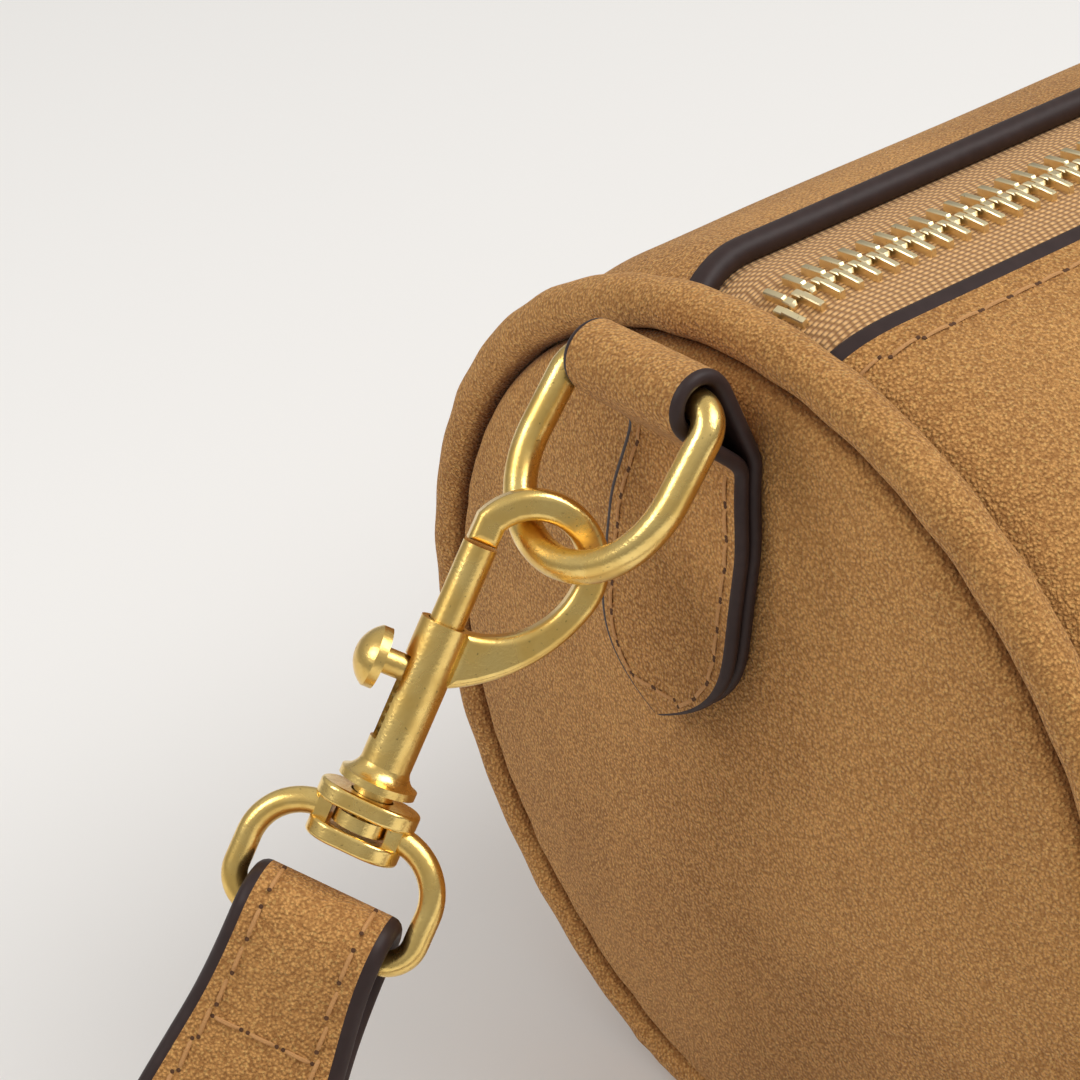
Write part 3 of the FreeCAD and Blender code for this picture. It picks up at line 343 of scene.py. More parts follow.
def grid(points, close_u=False, close_v=False, caps=False, slot=0):
    """A surface of quads over a grid of points, closed in either direction, ends capped.

    Its map runs in millimetres along both directions.
    """
    count_u, count_v = points.shape[:2]
    cells = (count_u if close_u else count_u - 1, count_v if close_v else count_v - 1)
    i, j = np.indices(cells)
    i = i[..., None] + np.array([0, 1, 1, 0])
    j = j[..., None] + np.array([0, 0, 1, 1])
    quads = (i % count_u * count_v + j % count_v).reshape(-1, 4)
    uv = np.stack([grid_lengths(points, 0)[i], grid_lengths(points, 1)[j]], axis=-1)
    ends = np.arange(count_u * count_v).reshape(count_u, count_v)[[0, -1]] if caps else []
    slots = np.broadcast_to(slot, cells).ravel()
    return Patch(points.reshape(-1, 3), quads, uv.reshape(-1, 4, 2), slots, ends)


def slab(middle, normal, half, slots=0, rim_slot=0, back_slot=None):
    """A sheet with a thickness: two faces, each half a thickness off the middle, and four rims."""
    face = grid(middle, slot=slots)
    offset = normal * half[..., None]
    points = np.concatenate([(middle + offset).reshape(-1, 3), (middle - offset).reshape(-1, 3)])
    total = len(face.points)
    order = np.arange(total).reshape(middle.shape[:2])
    edges = [order[:, 0], order[:, -1], order[0], order[-1]]
    rim = np.concatenate([np.stack([e[:-1], e[1:], e[1:] + total, e[:-1] + total], -1) for e in edges])
    quads = np.concatenate([face.quads, face.quads[:, ::-1] + total, rim])
    uv = np.concatenate([face.uv, face.uv[:, ::-1], np.zeros((len(rim), 4, 2))])
    back = face.slots if back_slot is None else np.full_like(face.slots, back_slot)
    return Patch(points, quads, uv, np.concatenate([face.slots, back, np.full(len(rim), rim_slot)]), [])


def laid(places, axes, shape):
    """Copies of a shape given in its own X, Y and Z, one at each place along its three axes."""
    axes = np.stack(np.broadcast_arrays(places, *axes)[1:], axis=1)
    return places[:, None, None] + np.einsum("ijk,nkc->nijc", shape, axes)


def repeats(copies, slot=0):
    """Many copies of one tube-like grid, given as copies, rings, points round and XYZ."""
    first = grid(copies[0], close_v=True, caps=True, slot=slot)
    count = len(copies)
    shift = np.arange(count)[:, None, None] * len(first.points)
    quads = (first.quads + shift).reshape(-1, 4)
    caps = (first.caps + shift).reshape(-1, copies.shape[2])
    uv = np.tile(first.uv, (count, 1, 1))
    return Patch(copies.reshape(-1, 3), quads, uv, np.tile(first.slots, count), caps)


def closed_tube(path, radius, plane, sides):
    """A round tube along a closed line that lies in the plane with that normal."""
    heading = unit(np.roll(path, -1, axis=0) - np.roll(path, 1, axis=0))
    side = np.cross(heading, plane)[:, None]
    turn = round_turn(sides)[:, None]
    radius = np.broadcast_to(radius, len(path))[:, None, None]
    points = path[:, None] + radius * (np.cos(turn) * side + np.sin(turn) * plane)
    return grid(points, close_u=True, close_v=True)


def turned(x, radius, turn):
    """A profile turned about the barrel's axis: its places along and its radii, at those angles."""
    radius = radius[:, None]
    points = xyz(x, radius * np.sin(turn), AXIS_HEIGHT + radius * np.cos(turn))
    return grid(points, close_v=True, caps=True)


def piece(name, patches, materials, body=None, nodes=(), side=1.0, crease=CREASE):
    """One mesh of the bag from its patches, with faces turned outward and shaded smooth."""
    faces, slots, maps, shades = [], [], [], []
    start = 0
    for patch in patches:
        faces += (patch.quads + start).tolist() + [(rim + start).tolist() for rim in patch.caps]
        slots += [patch.slots, np.full(len(patch.caps), patch.slots[-1])]
        maps += [patch.uv.reshape(-1, 2), np.zeros((np.size(patch.caps), 2))]
        shades.append(np.broadcast_to(np.ravel(patch.shade), len(patch.points)))
        start += len(patch.points)
    mesh = bpy.data.meshes.new(name)
    mesh.from_pydata(np.concatenate([patch.points for patch in patches]) * side * MM, [], faces)
    layer = mesh.uv_layers.new(name="lay")
    layer.data.foreach_set("uv", np.concatenate(maps).astype(np.float32).ravel())
    # The shade attribute: painted shade in the grooves at the seams, from 0 to 1 at each point
    deep = mesh.attributes.new("shade", "FLOAT", "POINT")
    deep.data.foreach_set("value", np.concatenate(shades).astype(np.float32))
    for material in materials:
        mesh.materials.append(bag_material(material))
    mesh.polygons.foreach_set("material_index", np.concatenate(slots).astype(np.int32))
    mesh.polygons.foreach_set("use_smooth", np.ones(len(mesh.polygons), bool))
    shell = bmesh.new()
    shell.from_mesh(mesh)
    bmesh.ops.recalc_face_normals(shell, faces=shell.faces)
    shell.to_mesh(mesh)
    shell.free()
    mesh.set_sharp_from_angle(angle=crease)
    built = bpy.data.objects.new(name, mesh)
    bpy.context.scene.collection.objects.link(built)
    if body:
        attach(built, body)
    if nodes:
        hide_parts(*nodes)
    return built


def strip_columns(half_width, half_thickness, bead, paint, count):
    """Places across a strip with rounded edges, its half thickness there, and its painted faces.

    half_width has one value for each row of the strip; the result has a row for each of them.
    """
    inset = np.append(bead - bead * np.sin(BEAD_SWING), bead + paint)
    thick = np.append(bead * np.cos(BEAD_SWING), half_thickness)
    share = np.linspace(-1.0, 1.0, count + 2)[1:-1]
    half_width = half_width[:, None]
    edge = half_width - inset
    offsets = np.concatenate([-edge, edge[:, -1:] * share, edge[:, ::-1]], axis=1)
    half = np.concatenate([thick, np.full(count, half_thickness), thick[::-1]])
    beads = np.full(len(BEAD_SWING), PAINT_SLOT)
    painted = np.concatenate([beads, np.zeros(count + 1, int), beads])
    return offsets, np.broadcast_to(half, offsets.shape), painted


def stitches(places, headings, ups, pitch, thread):
    """A row of stitches: each a thread that rises from one needle hole and dips into the next.

    A thread sinks with the fourth power of the distance from its middle and thins with the sixth.
    """
    axes = (headings, np.cross(ups, headings), ups)
    half = pitch * STITCH_LENGTH_SHARE / 2.0
    along = np.linspace(-1.0, 1.0, 7)[:, None]
    lift = thread * (THREAD_LIFT_SHARE - THREAD_DIP_SHARE * along**4)
    radius = thread / 2.0 * np.sqrt(1.0 - THREAD_TAPER_SHARE * along**6)
    turn = round_turn(6)
    rise = lift + radius * THREAD_FLAT_SHARE * np.sin(turn)
    strand = xyz(half * along, radius * np.cos(turn), rise)
    # Needle holes: small dark discs whose colour is painted shade of the holes
    turn = round_turn(8)
    rim = HOLE_RADII[:, None]
    hole = xyz(rim * np.cos(turn), rim * np.sin(turn), HOLE_LEVELS[:, None])
    holes = [laid(places + headings * end, axes, hole) for end in (-half, half)]
    return [repeats(laid(places, axes, strand), THREAD_SLOT), repeats(np.concatenate(holes), HOLE_SLOT)]


# Nodes of the finishes

def tint(red, green, blue):
    """Linear colour of an sRGB colour given in 0 to 255."""
    value = np.array([red, green, blue]) / 255.0
    linear = np.where(value <= 0.04045, value / 12.92, ((value + 0.055) / 1.055) ** 2.4)
    return tuple(linear.tolist())


def feed(tree, target, source):
    """Sets an input socket from another node's output or from a plain value or colour."""
    if isinstance(source, bpy.types.NodeSocket):
        tree.links.new(source, target)
    elif target.type == "RGBA":
        target.default_value = (*source, 1.0)
    else:
        target.default_value = source


def feed_all(tree, targets, sources):
    for key, source in sources.items():
        feed(tree, targets[key], source)


def add_node(tree, kind, inputs, output=0, **settings):
    """Adds a node with its settings, feeds its inputs and gives one of its outputs."""
    made = tree.nodes.new(f"ShaderNode{kind}")
    for key, value in settings.items():
        setattr(made, key, value)
    feed_all(tree, made.inputs, inputs)
    return made.outputs[output]


def math_node(tree, operation, first, second=0.0):
    return add_node(tree, "Math", {0: first, 1: second}, operation=operation)


def times(tree, first, second):
    return math_node(tree, "MULTIPLY", first, second)


def plus(tree, first, second):
    return math_node(tree, "ADD", first, second)


def object_place(tree):
    return add_node(tree, "TexCoord", {}, "Object")


def noise_node(tree, vector, scale, detail):
    return add_node(tree, "TexNoise", {"Vector": vector, "Scale": scale, "Detail": detail}, "Fac")


def spread_node(tree, value, low, high):
    """The value stretched so that low becomes 0 and high becomes 1."""
    return add_node(tree, "MapRange", {"Value": value, "From Min": low, "From Max": high}, "Result")


def mix_colours(tree, share, first, second):
    return add_node(tree, "Mix", {"Factor": share, "A": first, "B": second}, "Result", data_type="RGBA")


def new_group(name, label, default, outputs):
    """An empty shader group of plain values: its tree, its one input and its end."""
    tree = bpy.data.node_groups.new(name, "ShaderNodeTree")
    sockets = tree.interface
    entry = sockets.new_socket(name=label, in_out="INPUT", socket_type="NodeSocketFloat")
    entry.default_value = default
    for output in outputs:
        sockets.new_socket(name=output, in_out="OUTPUT", socket_type="NodeSocketFloat")
    start = tree.nodes.new("NodeGroupInput")
    end = tree.nodes.new("NodeGroupOutput")
    return tree, start.outputs[label], end.inputs


def nap_group(name):
    """Short suede nap: fine pebbles, soft clouds and pale flecks, as a tone, a fleck and a height. Its tone
    is lighter on the pebbles' crowns and darker in the gaps: partly the nap's own colour, partly painted
    shade of the grain's relief.
    """
    tree, grain, end = new_group(name, "Grain", 2400.0, ("Tone", "Fleck", "Height"))
    place = object_place(tree)
    fine = noise_node(tree, place, grain, 2.0)
    medium = noise_node(tree, place, times(tree, grain, 0.3), 3.0)
    cloud = noise_node(tree, place, times(tree, grain, 0.012), 3.0)
    hair = noise_node(tree, place, times(tree, grain, 0.8), 1.0)
    pebbles = {"Vector": place, "Scale": times(tree, grain, 0.7), "Smoothness": 0.3}
    pebble = add_node(tree, "TexVoronoi", pebbles, "Distance", feature="SMOOTH_F1")
    # Crowns lighter and gaps darker: partly the nap's own colour, partly painted shade of the pebbles' relief
    crown = spread_node(tree, pebble, 0.66, 0.16)
    tone = plus(tree, times(tree, crown, 0.44), 0.13)
    layers = ((fine, 0.4, 0.6, 0.18), (medium, 0.35, 0.65, 0.04), (cloud, 0.38, 0.62, 0.12))
    for layer, low, high, share in layers:
        tone = plus(tree, tone, times(tree, spread_node(tree, layer, low, high), share))
    height = plus(tree, times(tree, fine, 0.8), times(tree, crown, 0.6))
    feed_all(tree, end, {"Tone": tone, "Fleck": spread_node(tree, hair, 0.58, 0.68), "Height": height})
    return tree


def wear_group(name):
    """Handling wear of metal: fine brushed lines, pits and dull patches, as a tone, a pit and a height."""
    tree, scale, end = new_group(name, "Scale", 1.0, ("Tone", "Pit", "Height"))
    place = object_place(tree)
    brushing = {"Vector": place, "Rotation": (0.4, 0.9, 0.2), "Scale": (9000.0, 900.0, 4000.0)}
    brushed = noise_node(tree, add_node(tree, "Mapping", brushing, "Vector"), scale, 2.0)
    dull = noise_node(tree, place, times(tree, scale, 260.0), 3.0)
    pits = noise_node(tree, place, times(tree, scale, 2600.0), 1.0)
    height = math_node(tree, "SUBTRACT", times(tree, brushed, 0.4), pits)
    tone = spread_node(tree, dull, 0.35, 0.68)
    feed_all(tree, end, {"Tone": tone, "Pit": spread_node(tree, pits, 0.7, 0.78), "Height": height})
    return tree


GROUPS = {"Nap": nap_group, "Wear": wear_group}


def use_group(tree, name, inputs):
    """Places a shared shader group, made on its first use, and gives its outputs."""
    made = tree.nodes.new("ShaderNodeGroup")
    made.node_tree = bpy.data.node_groups.get(name) or GROUPS[name](name)
    feed_all(tree, made.inputs, inputs)
    return made.outputs


# Finishes

def start_material(name, values):
    """A new material with plain values on its shader, and the tree to build on."""
    made = bpy.data.materials.new(name)
    made.use_nodes = True
    tree = made.node_tree
    shader = tree.nodes["Principled BSDF"]
    feed_all(tree, shader.inputs, values)
    return made, tree, shader.inputs


def add_bump(tree, surface, height, depth, strength):
    """Feeds the shader's normal from a height, with its depth in millimetres."""
    inputs = {"Strength": strength, "Distance": depth * MM, "Height": height}
    feed(tree, surface["Normal"], add_node(tree, "Bump", inputs, "Normal"))


def nubuck(name, light, dark, grain):
    """Nubuck: two tones by its nap, pale flecks, and painted shade where the shade attribute marks the
    grooves at the seams.
    """
    values = {"Roughness": 0.88, "Specular IOR Level": 0.2, "Sheen Weight": 0.14, "Sheen Roughness": 0.45}
    made, tree, surface = start_material(name, {**values, "Sheen Tint": (0.92, 0.8, 0.62)})
    nap = use_group(tree, "Nap", {"Grain": grain})
    pale = np.minimum(1.0, light * 1.5 + 0.03)
    # deep: the darker, deeper colour of the painted shade in the grooves at the seams
    deep = dark * (0.8, 0.62, 0.4)
    shade = add_node(tree, "Attribute", {}, "Fac", attribute_name="shade")
    colour = mix_colours(tree, nap["Tone"], dark, light)
    colour = mix_colours(tree, times(tree, nap["Fleck"], 0.22), colour, pale)
    # Painted shade: the colour goes toward deep where the shade attribute is high
    feed(tree, surface["Base Color"], mix_colours(tree, times(tree, shade, 0.85), colour, deep))
    add_bump(tree, surface, nap["Height"], 0.3, 1.0)
    return made


def painted_edge(name, colour):
    """Edge paint: a satin coat with a faint tone of the nap under it."""
    made, tree, surface = start_material(name, {"Roughness": 0.5, "Specular IOR Level": 0.26})
    nap = use_group(tree, "Nap", {"Grain": 900.0})
    tone = times(tree, nap["Tone"], 0.6)
    feed(tree, surface["Base Color"], mix_colours(tree, tone, colour, colour * 1.7))
    add_bump(tree, surface, nap["Height"], 0.15, 0.25)
    return made


def speckled(name, dark, light, scale, detail, values, bump=None):
    """A plain finish of two tones mixed by noise, with a bump of that depth and strength."""
    made, tree, surface = start_material(name, values)
    fleck = noise_node(tree, object_place(tree), scale, detail)
    feed(tree, surface["Base Color"], mix_colours(tree, fleck, dark, light))
    if bump:
        add_bump(tree, surface, fleck, *bump)
    return made


def brass(name, bright, deep, roughness, depth):
    """Brass: bright and dull patches that also change its polish, dark pits and brushed lines."""
    made, tree, surface = start_material(name, {"Metallic": 1.0})
    wear = use_group(tree, "Wear", {})
    colour = mix_colours(tree, wear["Tone"], deep, bright)
    pit = times(tree, wear["Pit"], 0.6)
    feed(tree, surface["Base Color"], mix_colours(tree, pit, colour, deep * 0.35))
    feed(tree, surface["Roughness"], plus(tree, times(tree, wear["Tone"], -0.12), roughness + 0.06))
    add_bump(tree, surface, wear["Height"], depth, 0.35)
    return made


def herringbone(name, light, dark):
    """Woven tape: rows of yarn whose lumps step sideways from row to row and turn back every few rows."""
    yarn_width, rows_to_turn, lumps, step = 0.62, 5.0, 6.4, 1.3
    made, tree, surface = start_material(name, {"Roughness": 0.85, "Sheen Weight": 0.1})
    lay = add_node(tree, "UVMap", {}, "UV", uv_map="lay")
    split = add_node(tree, "SeparateXYZ", {0: lay}).node.outputs
    row = math_node(tree, "FLOOR", math_node(tree, "DIVIDE", split["Y"], yarn_width))
    fold = math_node(tree, "PINGPONG", row, rows_to_turn)
    slant = plus(tree, times(tree, split["X"], lumps), times(tree, fold, step))
    lump = spread_node(tree, math_node(tree, "SINE", slant), -1.5, 0.5)
    groove = math_node(tree, "SINE", times(tree, split["Y"], np.pi / yarn_width))
    yarn = math_node(tree, "POWER", math_node(tree, "ABSOLUTE", groove), 0.6)
    share = times(tree, yarn, lump)
    feed(tree, surface["Base Color"], mix_colours(tree, share, dark, light))
    add_bump(tree, surface, share, 0.3, 0.8)
    return made


def bag_material(name):
    """The named material of the bag, made on its first use from the colours in the panel."""
    if name in bpy.data.materials:
        return bpy.data.materials[name]
    colours = bpy.context.scene.bag_colours
    shade = {key: np.array(getattr(colours, key)) for key in BagColours.__annotations__}
    grain = 1.0 / bpy.context.scene.bag_sizes.grain
    thread, hole, lining = shade["c_thread"], shade["c_hole"], shade["c_lining"]
    steel = {"Metallic": 1.0, "Roughness": 0.35}
    makers = {
        "Nubuck": lambda: nubuck(name, shade["c_nubuck_light"], shade["c_nubuck_dark"], grain),
        "Edge paint": lambda: painted_edge(name, shade["c_edge"]),
        "Thread": lambda: speckled(name, thread * 0.6, thread, 5000.0, 2.0, {"Roughness": 0.7}, (0.1, 0.4)),
        "Needle hole": lambda: speckled(name, hole * 0.6, hole, 2000.0, 1.0, {"Roughness": 0.9}),
        "Brass": lambda: brass(name, shade["c_brass"], shade["c_brass_deep"], 0.27, 0.05),
        "Zip brass": lambda: brass(name, shade["c_teeth"], shade["c_teeth"], 0.34, 0.02),
        "Zip tape": lambda: herringbone(name, shade["c_tape"], shade["c_tape_dark"]),
        "Lining": lambda: speckled(name, lining * 0.7, lining, 1500.0, 1.0, {"Roughness": 0.9}),
        "Steel": lambda: speckled(name, tint(150, 150, 152), tint(200, 200, 202), 900.0, 2.0, steel),
    }
    return makers[name]()


# Barrel

def shoulder_drop(x, inset):
    """How far the barrel's outline, drawn in by inset, falls along a round toward its seams at x."""
    bend = SHOULDER_ROUND - inset
    past = np.clip(np.abs(x) - SHOULDER_X, 0.0, bend * SHOULDER_LIMIT_SHARE)
    return bend - np.sqrt(bend**2 - past**2)


def barrel_places(count):
    """Places along the barrel, closer together on its shoulders."""
    middle = np.linspace(-1.0, 1.0, count) * SHOULDER_X
    swing = np.linspace(0.0, np.arcsin(SHOULDER_LENGTH / SHOULDER_ROUND), 18)[1:]
    shoulder = SHOULDER_X + SHOULDER_ROUND * np.sin(swing)
    return np.concatenate([-shoulder[::-1], middle, shoulder])


def barrel_surface(x, angle, inset):
    """The barrel's skin, drawn in by inset, at angles from straight up toward the front.

    Its radius falls on the shoulders, low waves slacken it, and its underside rests flat on the ground.
    """
    slack = sum(
        height * np.sin(x / length + start) * np.sin(lobes * angle + turn)
        for height, length, start, lobes, turn in SLACK_WAVES
    )
    from_zip = np.pi - np.abs(angle - np.pi)
    calm = ramp(from_zip, SLACK_FADE_START, SLACK_FADE_ANGLE)
    calm = calm * ramp(BODY_END - np.abs(x), 0.0, SLACK_FADE_LENGTH)
    radius = BARREL_RADIUS - inset - shoulder_drop(x, inset) + slack * calm
    z = AXIS_HEIGHT + radius * np.cos(angle) - inset
    z = (z + np.sqrt(z * z + BASE_SOFTNESS**2)) / 2.0 + inset
    return xyz(x, -radius * np.sin(angle), z)


def opening_half_width(x):
    """Half the width of the zip opening at x, a little less at its two ends."""
    return ZIP_HALF_OPENING - ZIP_END_TAPER * ramp(np.abs(x), BODY_END - ZIP_TAPER_LENGTH, ZIP_TAPER_LENGTH)


def body_sheet():
    """The leather of the barrel: from one edge of the zip opening round to the other."""
    x = barrel_places(count=150)
    inset = LEATHER / 2.0
    radius = BARREL_RADIUS - inset
    half_turn = np.pi - np.arcsin(opening_half_width(x) / radius)
    offsets, half, painted = strip_columns(half_turn * radius, inset, EDGE_BEAD, EDGE_PAINT, count=220)
    middle = barrel_surface(x[:, None], np.pi + offsets / radius, inset)
    # Painted shade in the grooves at both seams: the body's last millimetres darken toward the piping
    shade = np.broadcast_to(ramp(np.abs(x), BODY_END - SEAM_SHADE, SEAM_SHADE)[:, None], half.shape)
    sheet = slab(middle, -grid_normals(middle), half, painted, PAINT_SLOT)
    return sheet._replace(shade=np.stack([shade, shade]))


def edge_stitches(pitch, thread):
    """The row of stitches along the front edge of the zip opening."""
    end = BODY_END - EDGE_ROW_INSET
    x = np.arange(-end, end, pitch)
    row = opening_half_width(x) + EDGE_BEAD + EDGE_PAINT + EDGE_ROW
    angle = np.arcsin(row / BARREL_RADIUS)
    here = barrel_surface(x, angle, 0.0)
    ahead = barrel_surface(x + SEAM_STEP, angle, 0.0)
    up = xyz(0.0, -np.sin(angle), np.cos(angle))
    return stitches(here, unit(ahead - here), up, pitch, thread)


def lining_shell():
    """The cloth lining: a closed barrel inside the leather, open along the zip."""
    inset = LEATHER + STIFFENER + 2.0 * LAYER_GAP + LINING / 2.0
    x = barrel_places(count=40) * (BODY_END - inset - LINING_PLAY) / BODY_END
    radius = BARREL_RADIUS - inset
    half_turn = np.pi - (ZIP_HALF_OPENING + TAPE_LAP / 2.0) / radius
    edge = LINING / 2.0
    offsets, half, _ = strip_columns(np.full(len(x), half_turn * radius), edge, edge, edge, count=60)
    middle = barrel_surface(x[:, None], np.pi + offsets / radius, inset)
    return slab(middle, -grid_normals(middle), half)


def lining_round(sign):
    """The round of lining at one end: a flat disc with a thickness."""
    inset = LEATHER + STIFFENER + LINING + 2.0 * LAYER_GAP
    face = np.array([0.01, 0.5, 1.0]) * (SEAM_INNER + LINING_ROUND_LAP)
    depth = LINING * np.repeat([0.0, 1.0], len(face))
    x = sign * (BODY_END - inset - LAYER_GAP - depth)
    return turned(x[:, None], np.concatenate([face, face[::-1]]), round_turn(64))


# Piping and end panels

def piping_path():
    """The middle of the piping at the left seam: a round whose foot lies flat on the ground."""
    ring = PIPING_RING_RADIUS
    foot = PIPING_BASE_ROUND
    rise = AXIS_HEIGHT - PIPING_RADIUS - foot
    half_foot = np.sqrt((ring - foot) ** 2 - rise**2)
    lean = np.arctan2(half_foot, rise)
    centre = np.array([-SEAM_X, 0.0, AXIS_HEIGHT])
    front_foot = np.array([-SEAM_X, -half_foot, PIPING_RADIUS])
    back_foot = np.array([-SEAM_X, half_foot, PIPING_RADIUS])
    turn_start = centre + ring * np.array([0.0, np.sin(lean), -np.cos(lean)])
    path = rows(
        straight_points(front_foot, back_foot, 24),
        arc_points(back_foot + UP * foot, back_foot, ALONG, lean, 24),
        arc_points(centre, turn_start, ALONG, 2.0 * (np.pi - lean), 260),
        arc_points(front_foot + UP * foot, front_foot, -ALONG, lean, 24)[::-1],
    )
    return path[:-1]


def piping():
    """The covered cord: a rippled tube on its path, with painted shade on its sides toward the end panel and
    the body.
    """
    path = piping_path()
    radius = PIPING_RADIUS + ripple(round_turn(len(path)), PIPING_RIPPLES)
    roll = closed_tube(path, radius, ALONG, sides=28)
    away = (roll.points.reshape(len(path), -1, 3) - path[:, None]) / PIPING_RADIUS
    spoke = unit((path - UP * AXIS_HEIGHT) * (BACK + UP))
    inward = -np.sum(away * spoke[:, None], axis=2)
    # Painted shade on the sides that face into the grooves beside the end panel and the body
    body_side = ramp(away[:, :, 0], *PIPING_SHADE_BODY)
    return roll._replace(shade=np.maximum(ramp(inward, *PIPING_SHADE_INWARD), body_side))


def crown_out(height, offset):
    """How far out from the seam the dome's crown stands at that distance from the axis."""
    return CROWN_CENTRE + np.sqrt((CROWN_RADIUS + offset) ** 2 - height**2)


def end_dome():
    """The padded end: crown and soft rim turned about the axis, with a flat back in the seam.

    Puckers ripple the rim and a slow wave slackens the crown. Painted shade darkens the rim next to the
    piping.
    """
    slope = np.arctan2(RIM_CENTRE, -DOME_RIM_SET_BACK - CROWN_CENTRE)
    crown = np.linspace(0.0, CROWN_RADIUS * np.sin(slope), 40)[1:]
    start = np.arcsin((PANEL_BACK + DOME_RIM_SET_BACK) / DOME_RIM_ROUND)
    swing = np.linspace(np.pi / 2.0 - slope, start, 16)[1:]
    radius = np.concatenate([crown, RIM_CENTRE + DOME_RIM_ROUND * np.cos(swing), DOME_BACK_RADII])
    rim_out = DOME_RIM_ROUND * np.sin(swing) - DOME_RIM_SET_BACK
    out = np.concatenate([crown_out(crown, 0.0), rim_out, np.full(len(DOME_BACK_RADII), PANEL_BACK)])
    turn = round_turn(256)
    rim = ramp(radius, *DOME_PUCKER_RAMP) * ramp(out, PANEL_BACK, DOME_PUCKER_DEPTH)
    loose = ramp(radius, *DOME_SLACK_INNER) * ramp(-radius, *DOME_SLACK_OUTER)
    waves = ripple(turn, DOME_PUCKERS) * rim[:, None] + ripple(turn, DOME_SLACK) * loose[:, None]
    shown = out > PANEL_BACK + LAYER_GAP
    depth = out[:, None] + waves * shown[:, None]
    # Painted shade on the rim, in the groove beside the piping
    shade = np.broadcast_to(ramp(radius, *DOME_SHADE_RAMP)[:, None], depth.shape)
    return turned(-SEAM_X - depth, radius, turn)._replace(shade=shade)


# Zip

def zip_tape(side):
    """One tape, from the teeth to under the leather, following the barrel."""
    x = barrel_places(count=90) * (BODY_END - LEATHER - TAPE_THICKNESS) / BODY_END
    inset = LEATHER + LAYER_GAP + TAPE_THICKNESS / 2.0
    y = np.linspace(TAPE_PARTING, ZIP_HALF_OPENING + TAPE_LAP, 24)
    angle = np.arcsin(y / (BARREL_RADIUS - inset))
    angle = angle if side < 0 else 2.0 * np.pi - angle
    middle = barrel_surface(x[:, None], angle, inset)
    return slab(middle, grid_normals(middle), np.full(middle.shape[:2], TAPE_THICKNESS / 2.0))


def tooth_part(sections):
    """Part of a tooth: at each place across the chain a rectangle with cut corners."""
    y, thinner, lower, higher = np.array(sections).T
    half = TOOTH_THICKNESS / 2.0 - thinner
    top = TOOTH_HEIGHT / 2.0 - lower
    foot = higher - TOOTH_HEIGHT / 2.0
    cut = TOOTH_CUT
    x = np.stack([half - cut, half, half, half - cut, cut - half, -half, -half, cut - half], axis=-1)
    z = np.stack([top, top - cut, foot + cut, foot, foot, foot + cut, top - cut, top], axis=-1)
    return xyz(x, y[:, None], z)


def chain_places(shift):
    """Places along the chain, and its directions along and up, bending down the left shoulder."""
    run = np.arange(CHAIN_START + shift, CHAIN_END, TOOTH_PITCH)
    past = np.maximum(-SHOULDER_X - run, 0.0)
    swing = past / CHAIN_ROUND
    drop = CHAIN_ROUND * (1.0 - np.cos(swing))
    place = xyz(run + past - CHAIN_ROUND * np.sin(swing), 0.0, TAPE_MIDDLE - drop)
    return place, xyz(np.cos(swing), 0.0, np.sin(swing)), xyz(-np.sin(swing), 0.0, np.cos(swing))


def zip_teeth(side):
    """One row of teeth: each a flat leg clenched on the tape and a head between its neighbours."""
    place, along, up = chain_places(0.0 if side > 0 else TOOTH_PITCH / 2.0)
    axes = (along, BACK * side, up)
    return [repeats(laid(place, axes, tooth_part(part))) for part in (TOOTH_LEG, TOOTH_HEAD)]


# Ring tabs and D-rings

def dome_place(height, offset):
    """Points over the left dome, at heights above the axis and an offset off its crown."""
    return xyz(-SEAM_X - crown_out(height, offset), 0.0, AXIS_HEIGHT + height)


def touch(point, centre, radius, side):
    """Where a line from point touches the circle in the XZ plane, on the given side."""
    away = point - centre
    swing = side * np.arccos(radius / np.linalg.norm(away))
    x = away[0] * np.cos(swing) + away[2] * np.sin(swing)
    z = -away[0] * np.sin(swing) + away[2] * np.cos(swing)
    return centre + unit(np.array([x, 0.0, z])) * radius


def tab_line():
    """The tab's middle line: up the dome, over the ring's bar and down over itself."""
    back = LAYER_GAP * 2.0 + TAB_LEATHER / 2.0
    front = back + TAB_LEATHER + LAYER_GAP
    loop = RING_WIRE_RADIUS + RING_CLEARANCE + TAB_LEATHER / 2.0
    heights = np.linspace(TAB_TIP_HEIGHT, TAB_SEWN_HEIGHT, 40)
    rise = dome_place(heights, back)
    fall = dome_place(heights[::-1], front)
    start = touch(rise[-1], RING_AXIS, loop, -1)
    end = touch(fall[0], RING_AXIS, loop, 1)
    spoke = start - RING_AXIS
    target = end - RING_AXIS
    angle = np.arctan2(-np.dot(np.cross(spoke, target), BACK), np.dot(spoke, target)) % (2.0 * np.pi)
    over = arc_points(RING_AXIS, start, -BACK, angle, 28)
    line = rows(rise, straight_points(rise[-1], start, 10), over, straight_points(end, fall[0], 10), fall)
    even = np.linspace(0.0, distances(line)[-1], 170)
    return softened(spaced(line, line, even), passes=6)


def tab_half_width(height):
    """Half the tab's width at a height: flaring below its sewn top, then rounding in to its blunt point."""
    share = np.clip((height - TAB_TIP_HEIGHT) / (TAB_SHOULDER_HEIGHT - TAB_TIP_HEIGHT), 0.0, 1.0)
    tip = TAB_TIP_WIDTH / 2.0
    flare = TAB_FLARE * ramp(TAB_SEWN_HEIGHT - height, 0.0, TAB_FLARE_LENGTH)
    return tip + (TAB_WIDTH / 2.0 + flare - tip) * (1.0 - (1.0 - share) ** TAB_ROUNDNESS)


def tab_lean(height):
    """How far to the back the tab's middle has drifted at a height, from its sewn top downward."""
    return np.maximum(TAB_SEWN_HEIGHT - height, 0.0)[:, None] * np.tan(TAB_LEAN)


